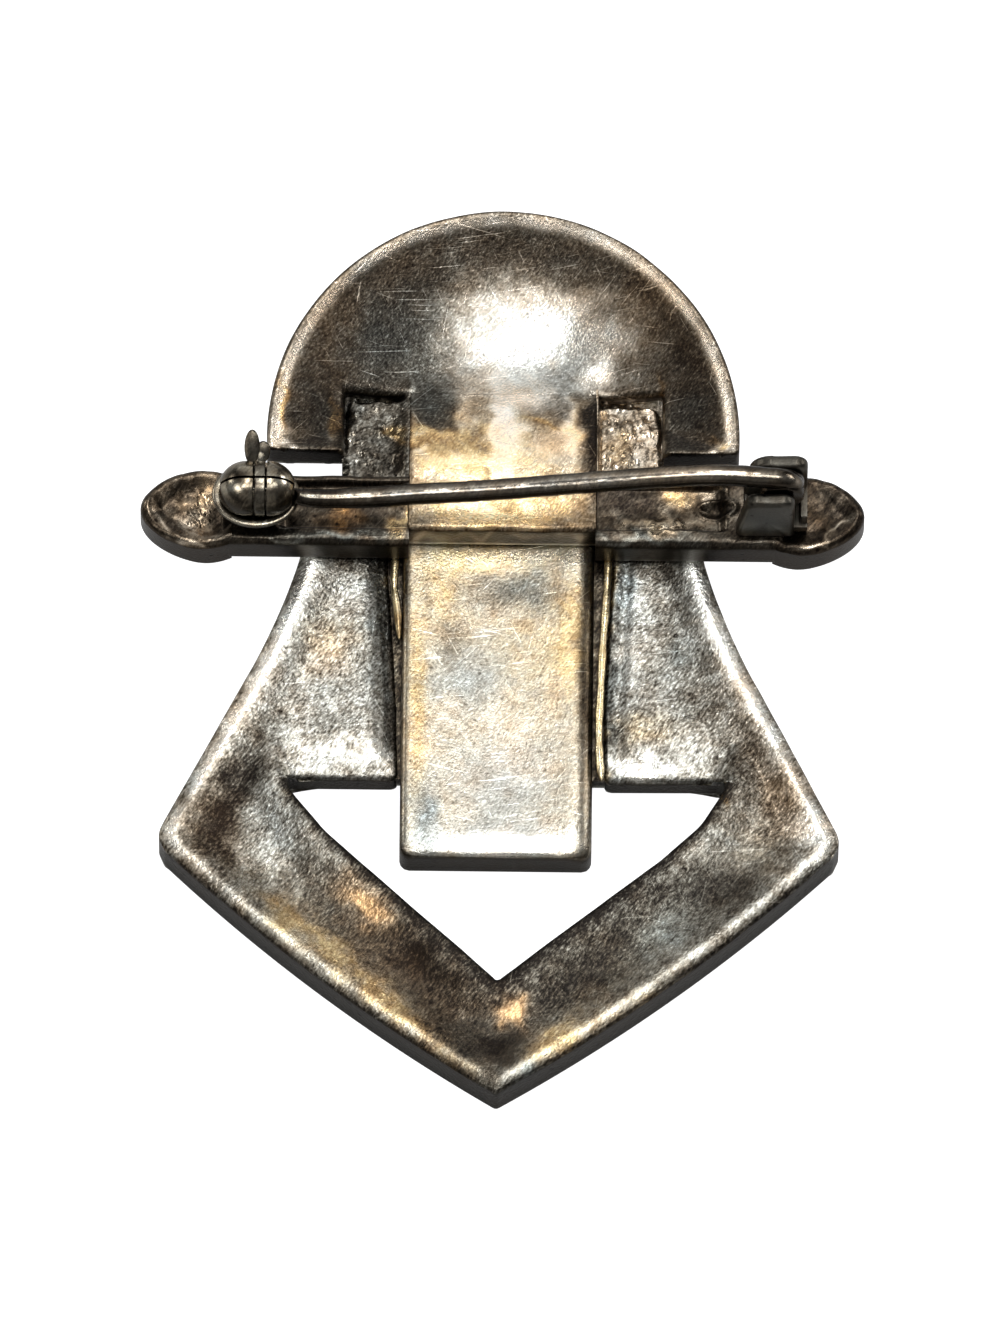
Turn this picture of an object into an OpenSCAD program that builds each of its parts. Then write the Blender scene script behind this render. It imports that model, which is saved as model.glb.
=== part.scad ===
// Art Deco silver and marcasite brooch, lying on its front with the pin side up.
// Millimetres. X runs along the crossbar, Y up the brooch, Z out through the back.

/* [Overall] */
// Height of the back faces of the crossbar and the dome's rim
back_z = 4.3; // [4.0:0.1:4.8]
// Thickness of the crossbar
bar_t = 1.9; // [1.6:0.1:2.2]
// Height of the back faces of the shield and the column
shield_z = 2.4; // [2.2:0.1:2.6]

/* [Crossbar] */
// Length of the crossbar over both spearhead tips
bar_w = 37.1; // [34:0.1:40]
// Breadth of the plain stretch of the crossbar
bar_h = 3.8; // [3.2:0.1:4.4]
// Breadth of a spearhead at its widest
spear_h = 4.4; // [4.0:0.1:5.0]
// Length of a spearhead from its neck to its tip
spear_l = 4.7; // [4:0.1:6]
// Depth of the channels cast in the crossbar's back
bar_channel = 0.45; // [0.2:0.05:0.6]

/* [Dome] */
// Half the width of the dome
dome_a = 12.13; // [11:0.01:13]
// Height of the dome's arch above its widest line
dome_b = 12.9; // [11:0.1:14]
// Distance of the dome's widest line above the crossbar's middle
dome_y = 4.2; // [3.8:0.1:5]
// Distance of the dome's lower edge above the crossbar's middle
dome_foot = 3.36; // [3:0.01:3.6]
// Depth of the hollow in the dome's back
dome_dish = 2.5; // [1.8:0.1:2.8]
// Thickness of the dome at its middle
dome_wall = 0.9; // [0.7:0.05:1.2]
// Thickness of the dome's rim
dome_rim = 1.75; // [1.5:0.05:2]
// Width of the flat border on the dome's front that holds the stones
dome_border = 2.3; // [2:0.1:2.8]

/* [Straps] */
// Distance of each strap's middle from the centre line
strap_x = 6.5; // [6:0.1:7]
// Width of each strap
strap_w = 3.3; // [2.6:0.1:3.8]
// Height of the notch in the dome that shows the strap
strap_top = 7.4; // [6.6:0.1:8]

/* [Shield] */
// Half the width of the shield where it leaves the crossbar
neck_x = 10.35; // [9.8:0.05:11]
// Half the width of the shield at its corners
corner_x = 17.5; // [16.5:0.1:18.5]
// Distance of the corners below the crossbar's middle
corner_y = 17.6; // [17:0.1:18.5]
// Distance of the point below the crossbar's middle
tip_y = 31.8; // [30:0.1:33]
// Bow of the two lower edges
lower_bow = 0.65; // [0.2:0.05:1]
// Distance of the cut-out's upper edge below the crossbar's middle
cut_top = 14.0; // [13.8:0.1:14.6]
// Width of the bevel on the wings' lower edges
cut_bevel = 1.15; // [0.6:0.05:1.4]
// Distance of the cut-out's lower corner below the crossbar's middle
cut_tip = 25.5; // [24.8:0.1:26]
// Reach of the cut-out to the left of the centre line
cut_left = 10.9; // [10.4:0.1:11.6]
// Reach of the cut-out to the right of the centre line
cut_right = 11.6; // [11:0.1:12]

/* [Column] */
// Width of the column
col_w = 9.84; // [9.2:0.02:10.4]
// Distance of the column's middle from the centre line
col_x = -0.15; // [-0.4:0.05:0.2]
// Distance of the column's lower end below the crossbar's middle
col_end = 18.3; // [17.6:0.1:19]
// Depth of the hollow down the column's back
col_dish = 0.45; // [0.2:0.05:0.6]
// Width of the groove on either side of the column
groove_w = 0.75; // [0.5:0.05:0.9]
// Depth of those grooves
groove_d = 1.1; // [0.6:0.1:1.4]

/* [Pin] */
// Diameter of the pin's wire
pin_d = 1.06; // [0.9:0.01:1.15]
// Distance of the hinge rivet from the centre line
hinge_x = 14.3; // [14:0.1:14.5]
// Height of the hinge rivet above the crossbar's back
hinge_h = 2.8; // [2.6:0.1:3]
// Diameter of the hinge rivet
rivet_d = 0.8; // [0.7:0.02:0.86]
// Running gap between the rivet and what turns on it
rivet_gap = 0.04; // [0.03:0.01:0.08]
// Distance from the centre line at which the pin starts to taper
taper_x = 7; // [6:0.1:8]
// Distance of the pin's point from the centre line
point_x = 13.5; // [13:0.1:13.9]

/* [Catch] */
// Distance of the catch's slot from the centre line
catch_x = 12.42; // [12.2:0.02:12.6]
// Height of the catch's bore above the crossbar's back
catch_h = 2.25; // [2.2:0.05:2.5]
// Radius of the round halves of the catch
ball_r = 1.5; // [1.4:0.05:1.6]
// Width of the throat that lets the pin into the catch
throat_w = 0.76; // [0.7:0.02:0.9]
// Radius of the lock's tube
tube_r = 0.86; // [0.8:0.02:0.9]
// Direction of the lever, in degrees from straight up towards the dome
lever_angle = 62; // [50:1:70]

/* [Stones] */
// Diameter of the stones in the shield and the dome
stone_d = 1.45; // [1.3:0.05:1.5]
// Gap between a stone and its seat
seat_gap = 0.06; // [0.05:0.01:0.08]
// Depth of a stone below the metal's front face
stone_sink = 0.1; // [0.06:0.02:0.16]
// Height of a stone from its table to its base
stone_h = 0.62; // [0.5:0.02:0.7]

/* [Hidden] */

silver = [0.72, 0.70, 0.66];
gilt = [0.80, 0.70, 0.48];
nickel = [0.52, 0.52, 0.46];
steel = [0.42, 0.38, 0.38];
pyrite = [0.32, 0.31, 0.30];

over = 0.1;              // overlap of soldered pieces
bar_z = back_z - bar_t;  // front face of the crossbar
spear_z = bar_z - 0.3;   // front face of the spearheads
dome_band_z = back_z - dome_rim - 0.35;   // front face of the dome's border
mid_y = ((dome_y + dome_b) - tip_y) / 2;  // middle of the whole length
catch_z = back_z + catch_h;
hinge_z = back_z + hinge_h;

// Points of an arc about a centre, from one angle to another.
function arc_pts(c, r, a0, a1, n) =
    [for (i = [0:n]) let (a = a0 + (a1 - a0) * i / n) c + r * [cos(a), sin(a)]];

function mirrored(p) = [for (i = [len(p) - 1:-1:0]) [-p[i][0], p[i][1]]];

function mix(a, b, t) = a + (b - a) * t;

// Arc through two points with a given bow, the bulge to the left of the way from p to q.
function bowed_centre(p, q, bow) =
    let (d = q - p, h = norm(d) / 2, r = (h * h + bow * bow) / (2 * bow), n = [-d[1], d[0]] / norm(d))
    [(p + q) / 2 - n * (r - bow), r];

function angle_of(v) = atan2(v[1], v[0]);

// Dome: a hollow half disc, deepest at its middle, whose rim stays level all round.

dome_mid = [0, 9.6];
dome_corner_r = 0.6;
dome_steps = 30;
dome_foot_steps = 12;
dome_foot_angle = asin((dome_foot + dome_corner_r - dome_y) / dome_b);

// Points of the arch at a distance in from its edge, from its right foot to its left.
function arch(inset, a0, a1, n) =
    [for (i = [0:n]) let (t = mix(a0, a1, i / n))
        [(dome_a - inset) * cos(t), dome_y + (dome_b - inset) * sin(t)]];

dome_side = dome_a - 0.02 - dome_corner_r;
dome_loop = concat(
    arch(0, dome_foot_angle, 180 - dome_foot_angle, dome_steps),
    arc_pts([-dome_side, dome_foot + dome_corner_r], dome_corner_r, 200, 270, 3),
    [for (i = [1:dome_foot_steps - 1])
        [mix(-dome_side, dome_side, i / dome_foot_steps), dome_foot]],
    arc_pts([dome_side, dome_foot + dome_corner_r], dome_corner_r, 270, 340, 3));
dome_rings = [0.3, 0.55, 0.75, 0.88, 0.96, 1];

function dome_back(u) = back_z - dome_dish * (1 - u * u);
function dome_front(u) = min(dome_back(u) - dome_wall, back_z - dome_rim);

module dome_shell() {
    n = len(dome_loop);
    rings = len(dome_rings);
    function ring(u, z) = [for (p = dome_loop) let (q = mix(dome_mid, p, u)) [q[0], q[1], z]];
    points = concat(
        [for (u = dome_rings, p = ring(u, dome_back(u))) p],
        [for (u = dome_rings, p = ring(u, dome_front(u))) p],
        [[dome_mid[0], dome_mid[1], dome_back(0)], [dome_mid[0], dome_mid[1], dome_front(0)]]);
    function back(k, i) = k * n + i % n;
    function front(k, i) = (rings + k) * n + i % n;
    hub_back = 2 * rings * n;
    hub_front = hub_back + 1;
    faces = concat(
        [for (k = [0:rings - 2], i = [0:n - 1]) each [
            [back(k, i), back(k + 1, i + 1), back(k + 1, i)],
            [back(k, i), back(k, i + 1), back(k + 1, i + 1)],
            [front(k, i), front(k + 1, i), front(k + 1, i + 1)],
            [front(k, i), front(k + 1, i + 1), front(k, i + 1)]]],
        [for (i = [0:n - 1]) each [
            [hub_back, back(0, i + 1), back(0, i)],
            [hub_front, front(0, i), front(0, i + 1)],
            [back(rings - 1, i), back(rings - 1, i + 1), front(rings - 1, i + 1)],
            [back(rings - 1, i), front(rings - 1, i + 1), front(rings - 1, i)]]]);
    polyhedron(points, faces);
}

module strap_notch(side) {
    translate([side * strap_x - strap_w / 2, dome_foot - 1, 0])
        cube([strap_w, strap_top - dome_foot + 1, back_z + 1]);
}

// Flat border that carries the dome's row of stones.
module dome_border_band() {
    inner = arch(dome_border, 0, 180, dome_steps);
    translate([0, 0, dome_band_z]) linear_extrude(0.8)
        polygon(concat(arch(0.05, 0, 180, dome_steps), [for (i = [dome_steps:-1:0]) inner[i]]));
}

module dome() {
    color(silver) difference() {
        union() {
            dome_shell();
            dome_border_band();
        }
        strap_notch(-1);
        strap_notch(1);
    }
}

// Straps: two sloping tongues that bridge the dome and the crossbar.

module strap(side) {
    profile = [[bar_h / 2 - 0.3, 2.7], [bar_h / 2 - 0.3, 3.8], [strap_top, 1.9], [strap_top + 0.8, 1.75],
               [strap_top + 0.8, 1.0], [strap_top - 0.4, 1.0]];
    color(silver)
        translate([side * strap_x - strap_w / 2 - over, 0, 0])
            rotate([90, 0, 90]) linear_extrude(strap_w + 2 * over) polygon(profile);
}

// Plate between the straps, where the dome runs on into the crossbar.
module bridge_plate() {
    half = strap_x - strap_w / 2;
    color(gilt)
        translate([-half, bar_h / 2 - 0.3, bar_z + 0.2])
            cube([2 * half, dome_foot - bar_h / 2 + 0.6, bar_t - 0.2]);
}

// Crossbar: a plain bar that ends in two spearheads.

spear_steps = 14;
neck_at = bar_w / 2 - spear_l;

// Half breadth of a spearhead at t, from 0 at the neck to 1 at the tip.
function spear_half(t) = spear_h / 2 * pow(sin(180 * pow(mix(0.22, 1, t), 0.9)), 0.5) ;

spear_edge = [for (i = [0:spear_steps]) let (t = i / spear_steps)
    [neck_at + spear_l * t, max(0.16, spear_half(t * 0.985))]];

module spearhead(side) {
    outline = concat(spear_edge, [for (i = [spear_steps:-1:0]) [spear_edge[i][0], -spear_edge[i][1]]]);
    dish_r = 3.8;
    color(silver) mirror([side < 0 ? 1 : 0, 0, 0]) difference() {
        translate([0, 0, spear_z]) linear_extrude(back_z - spear_z) polygon(outline);
        translate([neck_at + 2.3, 0, back_z + dish_r - 0.35]) sphere(dish_r, $fn = 48);
    }
}

module crossbar() {
    channel_y = [-0.95, 1.45];
    plate_end = -1.15;
    inner = strap_x - strap_w / 2;
    color(silver) difference() {
        translate([-neck_at - over, -bar_h / 2, bar_z - over / 2])
            cube([2 * (neck_at + over), bar_h, bar_t + over / 2]);
        for (x = [-11.2, inner])
            translate([x, channel_y[0], back_z - bar_channel])
                cube([11.2 - inner, channel_y[1] - channel_y[0], 1]);
        translate([-inner, -bar_h / 2 - 1, shield_z])
            cube([2 * inner, plate_end + bar_h / 2 + 1, bar_t + 1]);
    }
    spearhead(-1);
    spearhead(1);
}

// Shield: the wings, the two arms and the triangular cut-out between them.

flare_r = 35;
flare_top = [neck_x, -bar_h / 2 + 0.1];
flare_a = [15.5, 28];
flare_centre = flare_top + flare_r * [cos(flare_a[0]), sin(flare_a[0])];
flare_end = flare_centre - flare_r * [cos(flare_a[1]), sin(flare_a[1])];
corner_r = 0.5;
lower_start = [corner_x - 0.1, -corner_y - corner_r];
lower_end = [0.25, -tip_y + 0.12];
lower_bowed = bowed_centre(lower_end, lower_start, -lower_bow);

right_edge = concat(
    [[neck_x, bar_h / 2 - 0.2]],
    arc_pts(flare_centre, flare_r, 180 + flare_a[0], 180 + flare_a[1], 6),
    arc_pts([corner_x - corner_r, -corner_y], corner_r, 20, -35, 3),
    lower_points());

function lower_points() =
    let (c = lower_bowed[0], r = abs(lower_bowed[1]), a0 = angle_of(lower_start - c), a1 = angle_of(lower_end - c))
    arc_pts(c, r, a0, a1, 10);

shield_outline = concat(right_edge, [[0, -tip_y]], mirrored(right_edge));

// Distance of a wing's outer edge from the centre line at a given y.
function wing_edge(y) =
    y > flare_end[1]
        ? flare_centre[0] - sqrt(pow(flare_r, 2) - pow(y - flare_centre[1], 2))
        : mix(flare_end[0], corner_x, (flare_end[1] - y) / (flare_end[1] + corner_y));

cut_outline = [
    [-cut_left, -cut_top], [-9.0, -17.2], [-0.3, -cut_tip + 0.25], [0, -cut_tip],
    [0.35, -cut_tip + 0.25], [8.2, -18.7], [10.5, -16.4], [cut_right, -cut_top]];

col_l = col_x - col_w / 2;
col_r = col_x + col_w / 2;

// Sunk panel on the front of each wing.
module wing_panel(side) {
    panel = concat([[5.9, -12.4], [5.9, 0.6]],
        [for (y = [0.6, -3.4, -8.2, -12.4]) [wing_edge(y) - 2.7, y]]);
    mirror([side < 0 ? 1 : 0, 0, 0]) translate([0, 0, -over])
        linear_extrude(0.35 + over) polygon(panel);
}

// Long shallow hollow along the back of each arm.
module arm_hollow(side) {
    hollow_r = 9.4;
    from = [1.6, -28.0];
    to = [13.9, -18.6];
    mirror([side < 0 ? 1 : 0, 0, 0])
        translate([from[0], from[1], shield_z + hollow_r - 0.28])
            rotate([0, 0, angle_of(to - from)]) rotate([0, 90, 0])
                cylinder(r = hollow_r, h = norm(to - from), $fn = 96);
}

// Bevel along the wings' lower edges, which runs out at both ends of the cut-out.
module wing_bevel() {
    depth = 0.85;
    hull() {
        translate([-8.6, 0, 0]) rotate([90, 0, 90]) linear_extrude(17.8)
            polygon([[-cut_top - 0.1, shield_z - depth], [-cut_top - 0.1, shield_z + 0.1],
                     [-cut_top + cut_bevel, shield_z + 0.1]]);
        translate([-cut_left - 0.3, -cut_top - 0.1, shield_z]) cube([cut_left + cut_right + 0.6, 0.05, 0.1]);
    }
}

module shield() {
    color(silver) difference() {
        linear_extrude(shield_z) polygon(shield_outline);
        translate([0, 0, -1]) linear_extrude(shield_z + 2) polygon(cut_outline);
        for (x = [col_l - groove_w, col_r])
            translate([x, -cut_top - 1, shield_z - groove_d]) cube([groove_w, cut_top + 2, 2]);
        for (side = [-1, 1]) {
            wing_panel(side);
            arm_hollow(side);
        }
        wing_bevel();
    }
}

// Column: the dished slab down the middle, whose end hangs into the cut-out.

module column() {
    r = 0.45;
    length = col_end + bar_h / 2 - 0.2;
    dish_half = col_w / 2 - 0.5;
    dish_r = (dish_half * dish_half + col_dish * col_dish) / (2 * col_dish);
    color(gilt) difference() {
        translate([col_x, -col_end, 0]) linear_extrude(shield_z) polygon(concat(
            arc_pts([-col_w / 2 + r, r], r, 180, 270, 4),
            arc_pts([col_w / 2 - r, r], r, 270, 360, 4),
            [[col_w / 2, length], [-col_w / 2, length]]));
        translate([col_x, -col_end + 0.7, shield_z + dish_r - col_dish]) rotate([-90, 0, 0])
            cylinder(r = dish_r, h = length, $fn = 96);
    }
}

// Hinge bracket: a base, two ears and an end wall, soldered on the crossbar.

ear_t = 0.78;
ear_y = [-1.34, 0.82];
ear_x = [12.35, 15.6];
ear_top = 3.76;
knuckle_r = 1.12;

module ear(y) {
    w = ear_x[1] - ear_x[0];
    outline = concat(
        [[0, 0], [w, 0], [w, 2.9]],
        arc_pts([w - 0.9, ear_top - 0.8], 0.8, 0, 90, 5),
        arc_pts([1.5, ear_top - 1.5], 1.5, 90, 180, 6));
    translate([ear_x[0], y + ear_t, back_z - over]) rotate([90, 0, 0])
        linear_extrude(ear_t) polygon([for (p = outline) [p[0], p[1] + (p[1] > 0 ? over : 0)]]);
}

module hinge_bracket() {
    depth = ear_y[1] + ear_t - ear_y[0];
    color(steel) difference() {
        union() {
            for (y = ear_y) ear(y);
            translate([ear_x[0], ear_y[0], back_z - over])
                cube([ear_x[1] - ear_x[0], depth, 0.45 + over]);
            translate([ear_x[1] - 0.35, ear_y[0], back_z - over]) cube([0.35, depth, 2.0 + over]);
        }
        translate([hinge_x, ear_y[0] - 1, hinge_z]) rotate([-90, 0, 0])
            cylinder(d = rivet_d + 0.02, h = depth + 2, $fn = 48);
    }
}

// Safety catch: two round halves on a cupped foot, with a slot for the lock.

slot_w = 0.7;
lock_bore = 0.5;
left_ball = -14.75 + ball_r;
right_ball = -10.5 - ball_r;
tube_x = [-13.7, -11.15];

module x_cylinder(r, x0, x1) {
    translate([x0, 0, catch_z]) rotate([0, 90, 0]) cylinder(r = r, h = x1 - x0, $fn = 64);
}

module ball_halves() {
    for (x = [left_ball, right_ball]) translate([x, 0, catch_z]) sphere(ball_r, $fn = 64);
    x_cylinder(ball_r - 0.02, left_ball, right_ball);
}

module catch_cup() {
    translate([-12.62, 0, back_z - over]) scale([1, 0.83, 1]) rotate_extrude($fn = 64)
        polygon([[0, 0], [1.1, 0], [1.1, 0.62], [2.24, 1.56], [2.06, 1.7], [0.96, 0.96], [0, 0.96]]);
}

module catch_housing() {
    color(nickel) difference() {
        union() {
            ball_halves();
            catch_cup();
        }
        x_cylinder(lock_bore, -16, -9);
        x_cylinder(tube_r + 0.05, tube_x[0] - 0.06, tube_x[1] + 0.06);
        x_cylinder(ball_r + 0.12, -catch_x - slot_w / 2, -catch_x + slot_w / 2);
        translate([-16, -throat_w / 2, catch_z]) cube([7, throat_w, 3]);
    }
}

// Lock: a slotted tube and a thin wheel in the catch, with a two-leaved lever.

wheel_t = 0.54;
wheel_r = 1.5;
leaf_t = 0.3;

module lever_leaf(x, from, to, width) {
    translate([x, 0, catch_z]) rotate([-lever_angle, 0, 0])
        translate([0, leaf_t / 2, 0]) rotate([90, 0, 0]) linear_extrude(leaf_t)
            polygon(concat([[-width / 2, from], [width / 2, from]],
                arc_pts([0, to - width / 2], width / 2, 0, 180, 8)));
}

module catch_lock() {
    color(nickel) difference() {
        union() {
            x_cylinder(tube_r, tube_x[0], tube_x[1]);
            x_cylinder(wheel_r, -catch_x - wheel_t / 2, -catch_x + wheel_t / 2);
            lever_leaf(-catch_x, 0.9, 2.3, wheel_t);
            lever_leaf(-catch_x - 0.28, 1.72, 3.0, 0.66);
            lever_leaf(-catch_x + 0.28, 1.72, 2.42, 0.56);
        }
        x_cylinder(lock_bore, -16, -9);
        translate([-16, -throat_w / 2, catch_z]) cube([7, throat_w, 3]);
    }
}

// Pin: a tapered point, a gently bowed stem and a knuckle on the rivet.

knuckle_w = 1.2;
knuckle_y = (ear_y[0] + ear_y[1] + ear_t) / 2;

// Route of the wire from its point through the catch and over the bar to the knuckle.
stem_route = [
    [-point_x, 0, catch_z], [-12.4, 0, catch_z], [-11.3, 0, catch_z - 0.02], [-10.4, 0, catch_z - 0.12],
    [-9.4, -0.04, catch_z - 0.3], [-8.2, -0.07, catch_z - 0.44], [-6.3, -0.07, catch_z - 0.3],
    [-4.2, -0.04, catch_z - 0.06], [-2.1, 0, catch_z + 0.08], [0, 0.04, catch_z + 0.36],
    [2, 0.08, catch_z + 0.62], [4, 0.12, catch_z + 1.04], [6, 0.15, catch_z + 1.42],
    [8.1, 0.18, catch_z + 1.75], [10.1, 0.18, catch_z + 2], [11.6, 0.17, catch_z + 2.07],
    [12.6, 0.15, catch_z + 1.95], [13.4, 0.13, catch_z + 1.6], [14, 0.13, catch_z + 1.2]];

// Radius of the wire at a distance along the bar.
function wire_r(x) = mix(0.1, pin_d / 2, min(1, max(0, (x + point_x) / (point_x - taper_x))));

// Point on a smooth curve through the route, at t along its steps.
function on_route(p, t) =
    let (n = len(p) - 1, i = min(floor(t), n - 1), f = t - i,
         a = p[max(i - 1, 0)], b = p[i], c = p[i + 1], d = p[min(i + 2, n)])
    0.5 * (2 * b + f * (c - a) + f * f * (2 * a - 5 * b + 4 * c - d) + f * f * f * (3 * b - a - 3 * c + d));

// Wire of round section carried along a route that stays near the XZ plane.
module wire(route, per_step, sides) {
    n = (len(route) - 1) * per_step;
    at = [for (k = [0:n]) on_route(route, k / per_step)];
    rings = [for (k = [0:n])
        let (d = at[min(k + 1, n)] - at[max(k - 1, 0)], w = d / norm(d), r = wire_r(at[k][0]),
             s = cross([0, 1, 0], w), u = s / norm(s), v = cross(w, u))
        [for (j = [0:sides - 1]) at[k] + r * (cos(360 * j / sides) * u + sin(360 * j / sides) * v)]];
    faces = concat(
        [[for (j = [0:sides - 1]) j], [for (j = [0:sides - 1]) n * sides + sides - 1 - j]],
        [for (k = [0:n - 1], j = [0:sides - 1]) each [
            [k * sides + j, (k + 1) * sides + (j + 1) % sides, k * sides + (j + 1) % sides],
            [k * sides + j, (k + 1) * sides + j, (k + 1) * sides + (j + 1) % sides]]]);
    polyhedron([for (ring = rings, p = ring) p], faces);
}

module pin_stem() {
    color(steel) difference() {
        union() {
            wire(stem_route, 3, 16);
            translate([hinge_x, knuckle_y - knuckle_w / 2, hinge_z]) rotate([-90, 0, 0])
                cylinder(r = knuckle_r, h = knuckle_w, $fn = 64);
        }
        translate([hinge_x, -3, hinge_z]) rotate([-90, 0, 0])
            cylinder(d = rivet_d + 2 * rivet_gap, h = 6, $fn = 48);
    }
}

module hinge_rivet() {
    head_t = 0.14;
    depth = ear_y[1] + ear_t - ear_y[0];
    color(steel) translate([hinge_x, ear_y[0] - head_t - 0.02, hinge_z]) rotate([-90, 0, 0]) {
        cylinder(d = rivet_d, h = depth + 2 * head_t + 0.04, $fn = 48);
        cylinder(r = 0.56, h = head_t, $fn = 48);
        translate([0, 0, depth + head_t + 0.04]) cylinder(r = 0.56, h = head_t, $fn = 48);
    }
}

// Stones: eight-sided, with a table that faces down, each in a round seat.

// Rings of a cut stone: radius as a share of its own, height as a share of its own.
stone_rings = [[0.55, 0], [1, 0.42], [1, 0.6], [0.5, 1]];

module stone(d) {
    sides = 8;
    points = [for (ring = stone_rings, j = [0:sides - 1])
        [d / 2 * ring[0] * cos(45 * j), d / 2 * ring[0] * sin(45 * j), stone_h * ring[1]]];
    last = (len(stone_rings) - 1) * sides;
    faces = concat(
        [[for (j = [0:sides - 1]) j], [for (j = [0:sides - 1]) last + sides - 1 - j]],
        [for (k = [0:len(stone_rings) - 2], j = [0:sides - 1])
            [k * sides + j, (k + 1) * sides + j, (k + 1) * sides + (j + 1) % sides, k * sides + (j + 1) % sides]]);
    polyhedron(points, faces);
}

// Each row of places is [x, y, front face, diameter].
dome_row_n = 20;
dome_row_inset = 0.5 + stone_d / 2;
dome_places = [for (i = [0:dome_row_n - 1])
    let (t = mix(4, 176, i / (dome_row_n - 1)))
    [(dome_a - dome_row_inset) * cos(t), dome_y + (dome_b - dome_row_inset) * sin(t),
     dome_band_z, stone_d]];

bar_places = [for (side = [-1, 1], p = [[11.6, 1.3, bar_z], [13.25, 1.3, bar_z],
                                        [15.0, 1.6, spear_z], [16.75, 1.3, spear_z]])
    [side * p[0], 0, p[2], p[1]]];

// Rows along each arm: distance in from the lower edge, stones, and where the row ends.
arm_rows = [[1.25, 12, 0.91], [2.95, 11, 0.86]];
arm_places = [for (side = [-1, 1], row = arm_rows, i = [0:row[1] - 1])
    let (c = lower_bowed[0], r = abs(lower_bowed[1]) - row[0],
         a0 = angle_of(lower_start - c), a1 = angle_of(lower_end - c),
         a = mix(a0, a1, mix(0.04, row[2], i / (row[1] - 1))))
    [side * (c[0] + r * cos(a)), c[1] + r * sin(a), 0, stone_d]];

wing_row_n = 10;
wing_places = [for (side = [-1, 1], i = [0:wing_row_n - 1])
    let (y = mix(0.4, -14.9, i / (wing_row_n - 1)))
    [side * (wing_edge(y) - 1.36), y, 0, stone_d]];

col_row_n = 10;
column_places = [for (side = [-1, 1], i = [0:col_row_n - 1])
    [col_x + side * 3.6, mix(-col_end + 1.4, 0.6, i / (col_row_n - 1)), 0, 1.6]];

module stones(places) {
    for (p = places) translate([p[0], p[1], p[2] + stone_sink]) stone(p[3]);
}

module seats(places) {
    for (p = places)
        translate([p[0], p[1], p[2] - 0.4])
            cylinder(d = p[3] + 2 * seat_gap, h = 0.4 + stone_sink + stone_h + 0.04, $fn = 32);
}

// Nodes, each moved so that the whole length is centred on Y.

module centred() {
    translate([0, -mid_y, 0]) children();
}

module silver_body() {
    centred() difference() {
        union() {
            dome();
            bridge_plate();
            strap(-1);
            strap(1);
            crossbar();
            shield();
            column();
            hinge_bracket();
            catch_housing();
        }
        seats(dome_places);
        seats(bar_places);
        seats(arm_places);
        seats(wing_places);
        seats(column_places);
    }
}

module dome_stones() { color(pyrite) centred() stones(dome_places); }

module bar_stones() { color(pyrite) centred() stones(bar_places); }

module shield_stones() { color(pyrite) centred() stones(concat(arm_places, wing_places)); }

module column_stones() { color(pyrite) centred() stones(column_places); }

silver_body();
centred() pin_stem();
centred() hinge_rivet();
centred() catch_lock();
dome_stones();
bar_stones();
shield_stones();
column_stones();
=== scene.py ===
import bpy
import numpy as np
from mathutils import Matrix, Vector


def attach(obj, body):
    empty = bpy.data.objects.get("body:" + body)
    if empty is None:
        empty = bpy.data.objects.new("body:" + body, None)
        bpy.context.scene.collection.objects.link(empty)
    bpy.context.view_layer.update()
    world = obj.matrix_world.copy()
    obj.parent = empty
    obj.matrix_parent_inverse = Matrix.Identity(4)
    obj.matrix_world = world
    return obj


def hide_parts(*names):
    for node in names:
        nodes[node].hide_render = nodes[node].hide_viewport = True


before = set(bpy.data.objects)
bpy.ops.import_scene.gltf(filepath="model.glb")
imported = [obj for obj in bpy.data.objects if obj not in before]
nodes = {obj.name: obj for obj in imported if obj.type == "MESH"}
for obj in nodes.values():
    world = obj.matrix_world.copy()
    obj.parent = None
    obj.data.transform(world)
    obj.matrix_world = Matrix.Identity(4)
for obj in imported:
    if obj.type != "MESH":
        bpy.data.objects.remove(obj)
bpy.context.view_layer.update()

# Lengths are in millimetres from the crossbar's middle until a mesh is made. The frame's
# origin lies 7.35 mm below the crossbar, and its unit is the metre.
mm = 0.001
barAboveOrigin = 7.35
barBack = 4.3  # height of the crossbar's back
shieldBack = 2.4  # height of the shield's and the column's back

# How the object stands in the picture, in pixels: a millimetre across, along and in height, the
# place of the bar's middle, the lean of the long axis and the slope of the bar.
picture = {
    "wide": 1000, "across": 19.5, "along": 17.67, "high": 8.25, "x": 504, "y": 546.8, "leanFrom": 330,
    "lean": 0.01104, "slopeFrom": 500, "slope": 0.011,
}


# From points to picture pixels: each axis times its pixels, then the lean and the slope.
def pictureCoords(points):
    s = picture
    down = s["y"] - s["along"] * points[:, 1] - s["high"] * points[:, 2]
    across = s["x"] + s["across"] * points[:, 0] - (down - s["leanFrom"]) * s["lean"]
    return across, down + (across - s["slopeFrom"]) * s["slope"]


# The way back, from picture pixels to points at a known height.
def pointsFromPicture(route, high):
    s = picture
    across, down = np.array(route, float).T
    down = down - (across - s["slopeFrom"]) * s["slope"]
    y = (s["y"] - down - s["high"] * high) / s["along"]
    x = (across - s["x"] + (down - s["leanFrom"]) * s["lean"]) / s["across"]
    return np.column_stack([x, y, np.full(len(x), high)])


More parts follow.
